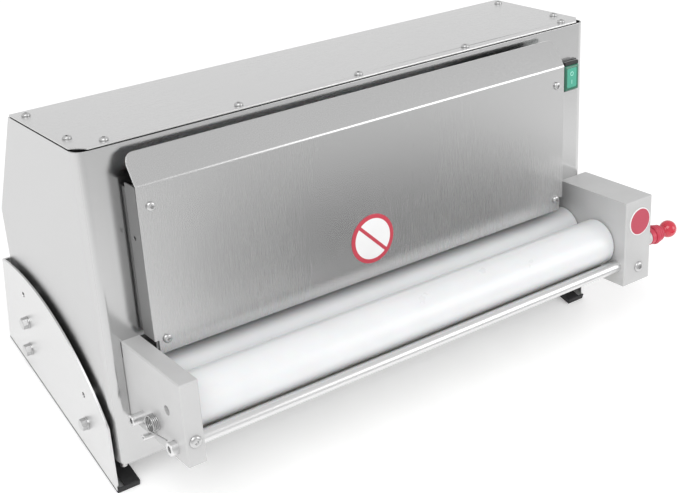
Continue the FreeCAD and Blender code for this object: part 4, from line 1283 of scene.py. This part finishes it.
@dataclass
class HiddenWorks:
    """Finishes of the sub-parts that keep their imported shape, most of them inside the housing."""

    finishes: Finishes

    def build(self) -> None:
        """Dress every packed sub-part that no piece has replaced."""
        finishes = self.finishes
        groups = (
            (finishes.side_sheet, ("drive_bracket",)),
            (finishes.alloy, ("outer_slide_block",)),
            (finishes.rod, ("front_roller_shaft", "rear_roller_shaft", "scroll_cam", "cam_follower_pin",
                            "drive_shaft")),
            (finishes.gear, ("front_roller_gear", "rear_roller_gear", "drive_gear")),
            (finishes.bronze, ("rear_roller_bushes", "slide_bushes", "slide_guides")),
            (finishes.fastener, ("base_studs", "tongue_bolts", "rear_scraper_screws")),
            (finishes.spring, ("plunger_spring",)),
            (finishes.scraper, ("rear_scraper_blade",)),
            (finishes.black, ("fan_cowl", "terminal_box")),
            (finishes.motor, ("motor_body",)),
            (finishes.gearbox, ("gearbox_case", "rear_scraper_rail")),
            (finishes.capacitor, ("motor_capacitor",)),
        )
        for finish, nodes in groups:
            for node in nodes:
                mesh = frame["nodes"][node].data
                mesh.materials.clear()
                mesh.materials.append(finish)
                LOG.info("%s keeps its shape and takes %s", node, finish.name)


# ------------------------------------------------------------------ studio


@dataclass
class Studio:
    """Plain pale floor, soft lights and the camera."""

    eye: Point = (-0.66063, -0.73334, 0.87433)
    heading: float = 40.96
    dip: float = 38.0
    roll: float = 9.2
    lens: float = 66.26
    sky: float = 0.75
    floor_long: float = 12.0
    floor_tone: float = 0.9
    floor_glow: float = 0.22
    key_at: Point = (0.0, 0.0, 0.1)
    fill_at: Point = (0.0, 0.0, 0.15)

    def camera(self) -> None:
        """Set up the camera: heading from +Y towards +X, dip below level, and roll, in degrees."""
        data = bpy.data.cameras.new("camera")
        data.lens = self.lens
        data.sensor_width = 36.0
        data.clip_start = 0.01
        camera = bpy.data.objects.new("camera", data)
        bpy.context.scene.collection.objects.link(camera)
        turn = (Matrix.Rotation(-math.radians(self.heading), 4, "Z")
                @ Matrix.Rotation(math.radians(90 - self.dip), 4, "X")
                @ Matrix.Rotation(math.radians(self.roll), 4, "Z"))
        camera.matrix_world = Matrix.Translation(self.eye) @ turn
        bpy.context.scene.camera = camera

    def floor(self) -> None:
        """Lay a wide floor with a slight mottle."""
        deselect()
        bpy.ops.mesh.primitive_plane_add(size=self.floor_long, location=(0, 0, 0))
        floor = bpy.context.object
        floor.name = "floor"
        pale = Moulded("pale_floor", (self.floor_tone,) * 3, 0.8, 0.01, 40.0, 0.01).make()
        shader = next(node for node in pale.node_tree.nodes if node.type == "BSDF_PRINCIPLED")
        shader.inputs["Emission Color"].default_value = (1.0, 1.0, 1.0, 1.0)
        shader.inputs["Emission Strength"].default_value = self.floor_glow
        floor.data.materials.append(pale)

    def flag(self, name: str, place: Point, size: Point, turn: float, tone: float) -> None:
        """Lay a card that the camera never sees and polished metal reflects.

        Args:
            name: the card's name.
            place: its middle in metres.
            size: its length, width and thickness in metres.
            turn: turn about Z in degrees.
            tone: how bright it is.
        """
        deselect()
        bpy.ops.mesh.primitive_plane_add(size=1.0, location=place, rotation=(0, 0, math.radians(turn)))
        card = bpy.context.object
        card.name = name
        card.scale = size
        settle(card)
        card.visible_camera = False
        card.visible_diffuse = False
        card.visible_shadow = False
        card.data.materials.append(Moulded(f"{name}_paint", (tone,) * 3, 0.9, 0.05, 40.0, 0.01).make())

    def light(self, name: str, place: Point, target: Point, size: float, power: float) -> None:
        """Add a square soft light.

        Args:
            name: the light's name.
            place: where it stands, in metres.
            target: what it points at, in metres.
            size: its side in metres.
            power: its power in watts.
        """
        data = bpy.data.lights.new(name, "AREA")
        data.shape = "SQUARE"
        data.size = size
        data.energy = power
        lamp = bpy.data.objects.new(name, data)
        bpy.context.scene.collection.objects.link(lamp)
        away = Vector(place) - Vector(target)
        lamp.matrix_world = Matrix.Translation(place) @ away.to_track_quat("Z", "Y").to_matrix().to_4x4()

    def build(self) -> None:
        """Set up the studio."""
        world = bpy.data.worlds.new("studio")
        bpy.context.scene.world = world
        world.use_nodes = True
        background = world.node_tree.nodes["Background"]
        background.inputs["Color"].default_value = (1.0, 1.0, 1.0, 1.0)
        background.inputs["Strength"].default_value = self.sky
        bpy.context.scene.view_settings.view_transform = "Standard"
        self.floor()
        self.light("key", (-1.2, -0.6, 2.2), self.key_at, size=1.6, power=22.0)
        self.light("fill", (1.6, -1.6, 1.2), self.fill_at, size=1.2, power=10.0)
        self.flag("dark_card", (0.75, -1.23, 0.004), (1.6, 0.75, 1.0), turn=-58.5, tone=0.02)
        self.camera()


def main() -> None:
    """Build the whole scene in order."""
    logging.basicConfig(level=logging.INFO, format="%(message)s")
    finishes = Finishes()
    for part in (Housing(finishes), SideBrackets(finishes), FeedChute(finishes), RollerBlocks(finishes),
                 Rollers(finishes), SprungScraper(finishes), ThicknessLever(finishes), PowerSwitch(finishes),
                 HiddenWorks(finishes), Studio()):
        part.build()
        LOG.info("%s finished", type(part).__name__)


if __name__ == "__main__":
    main()
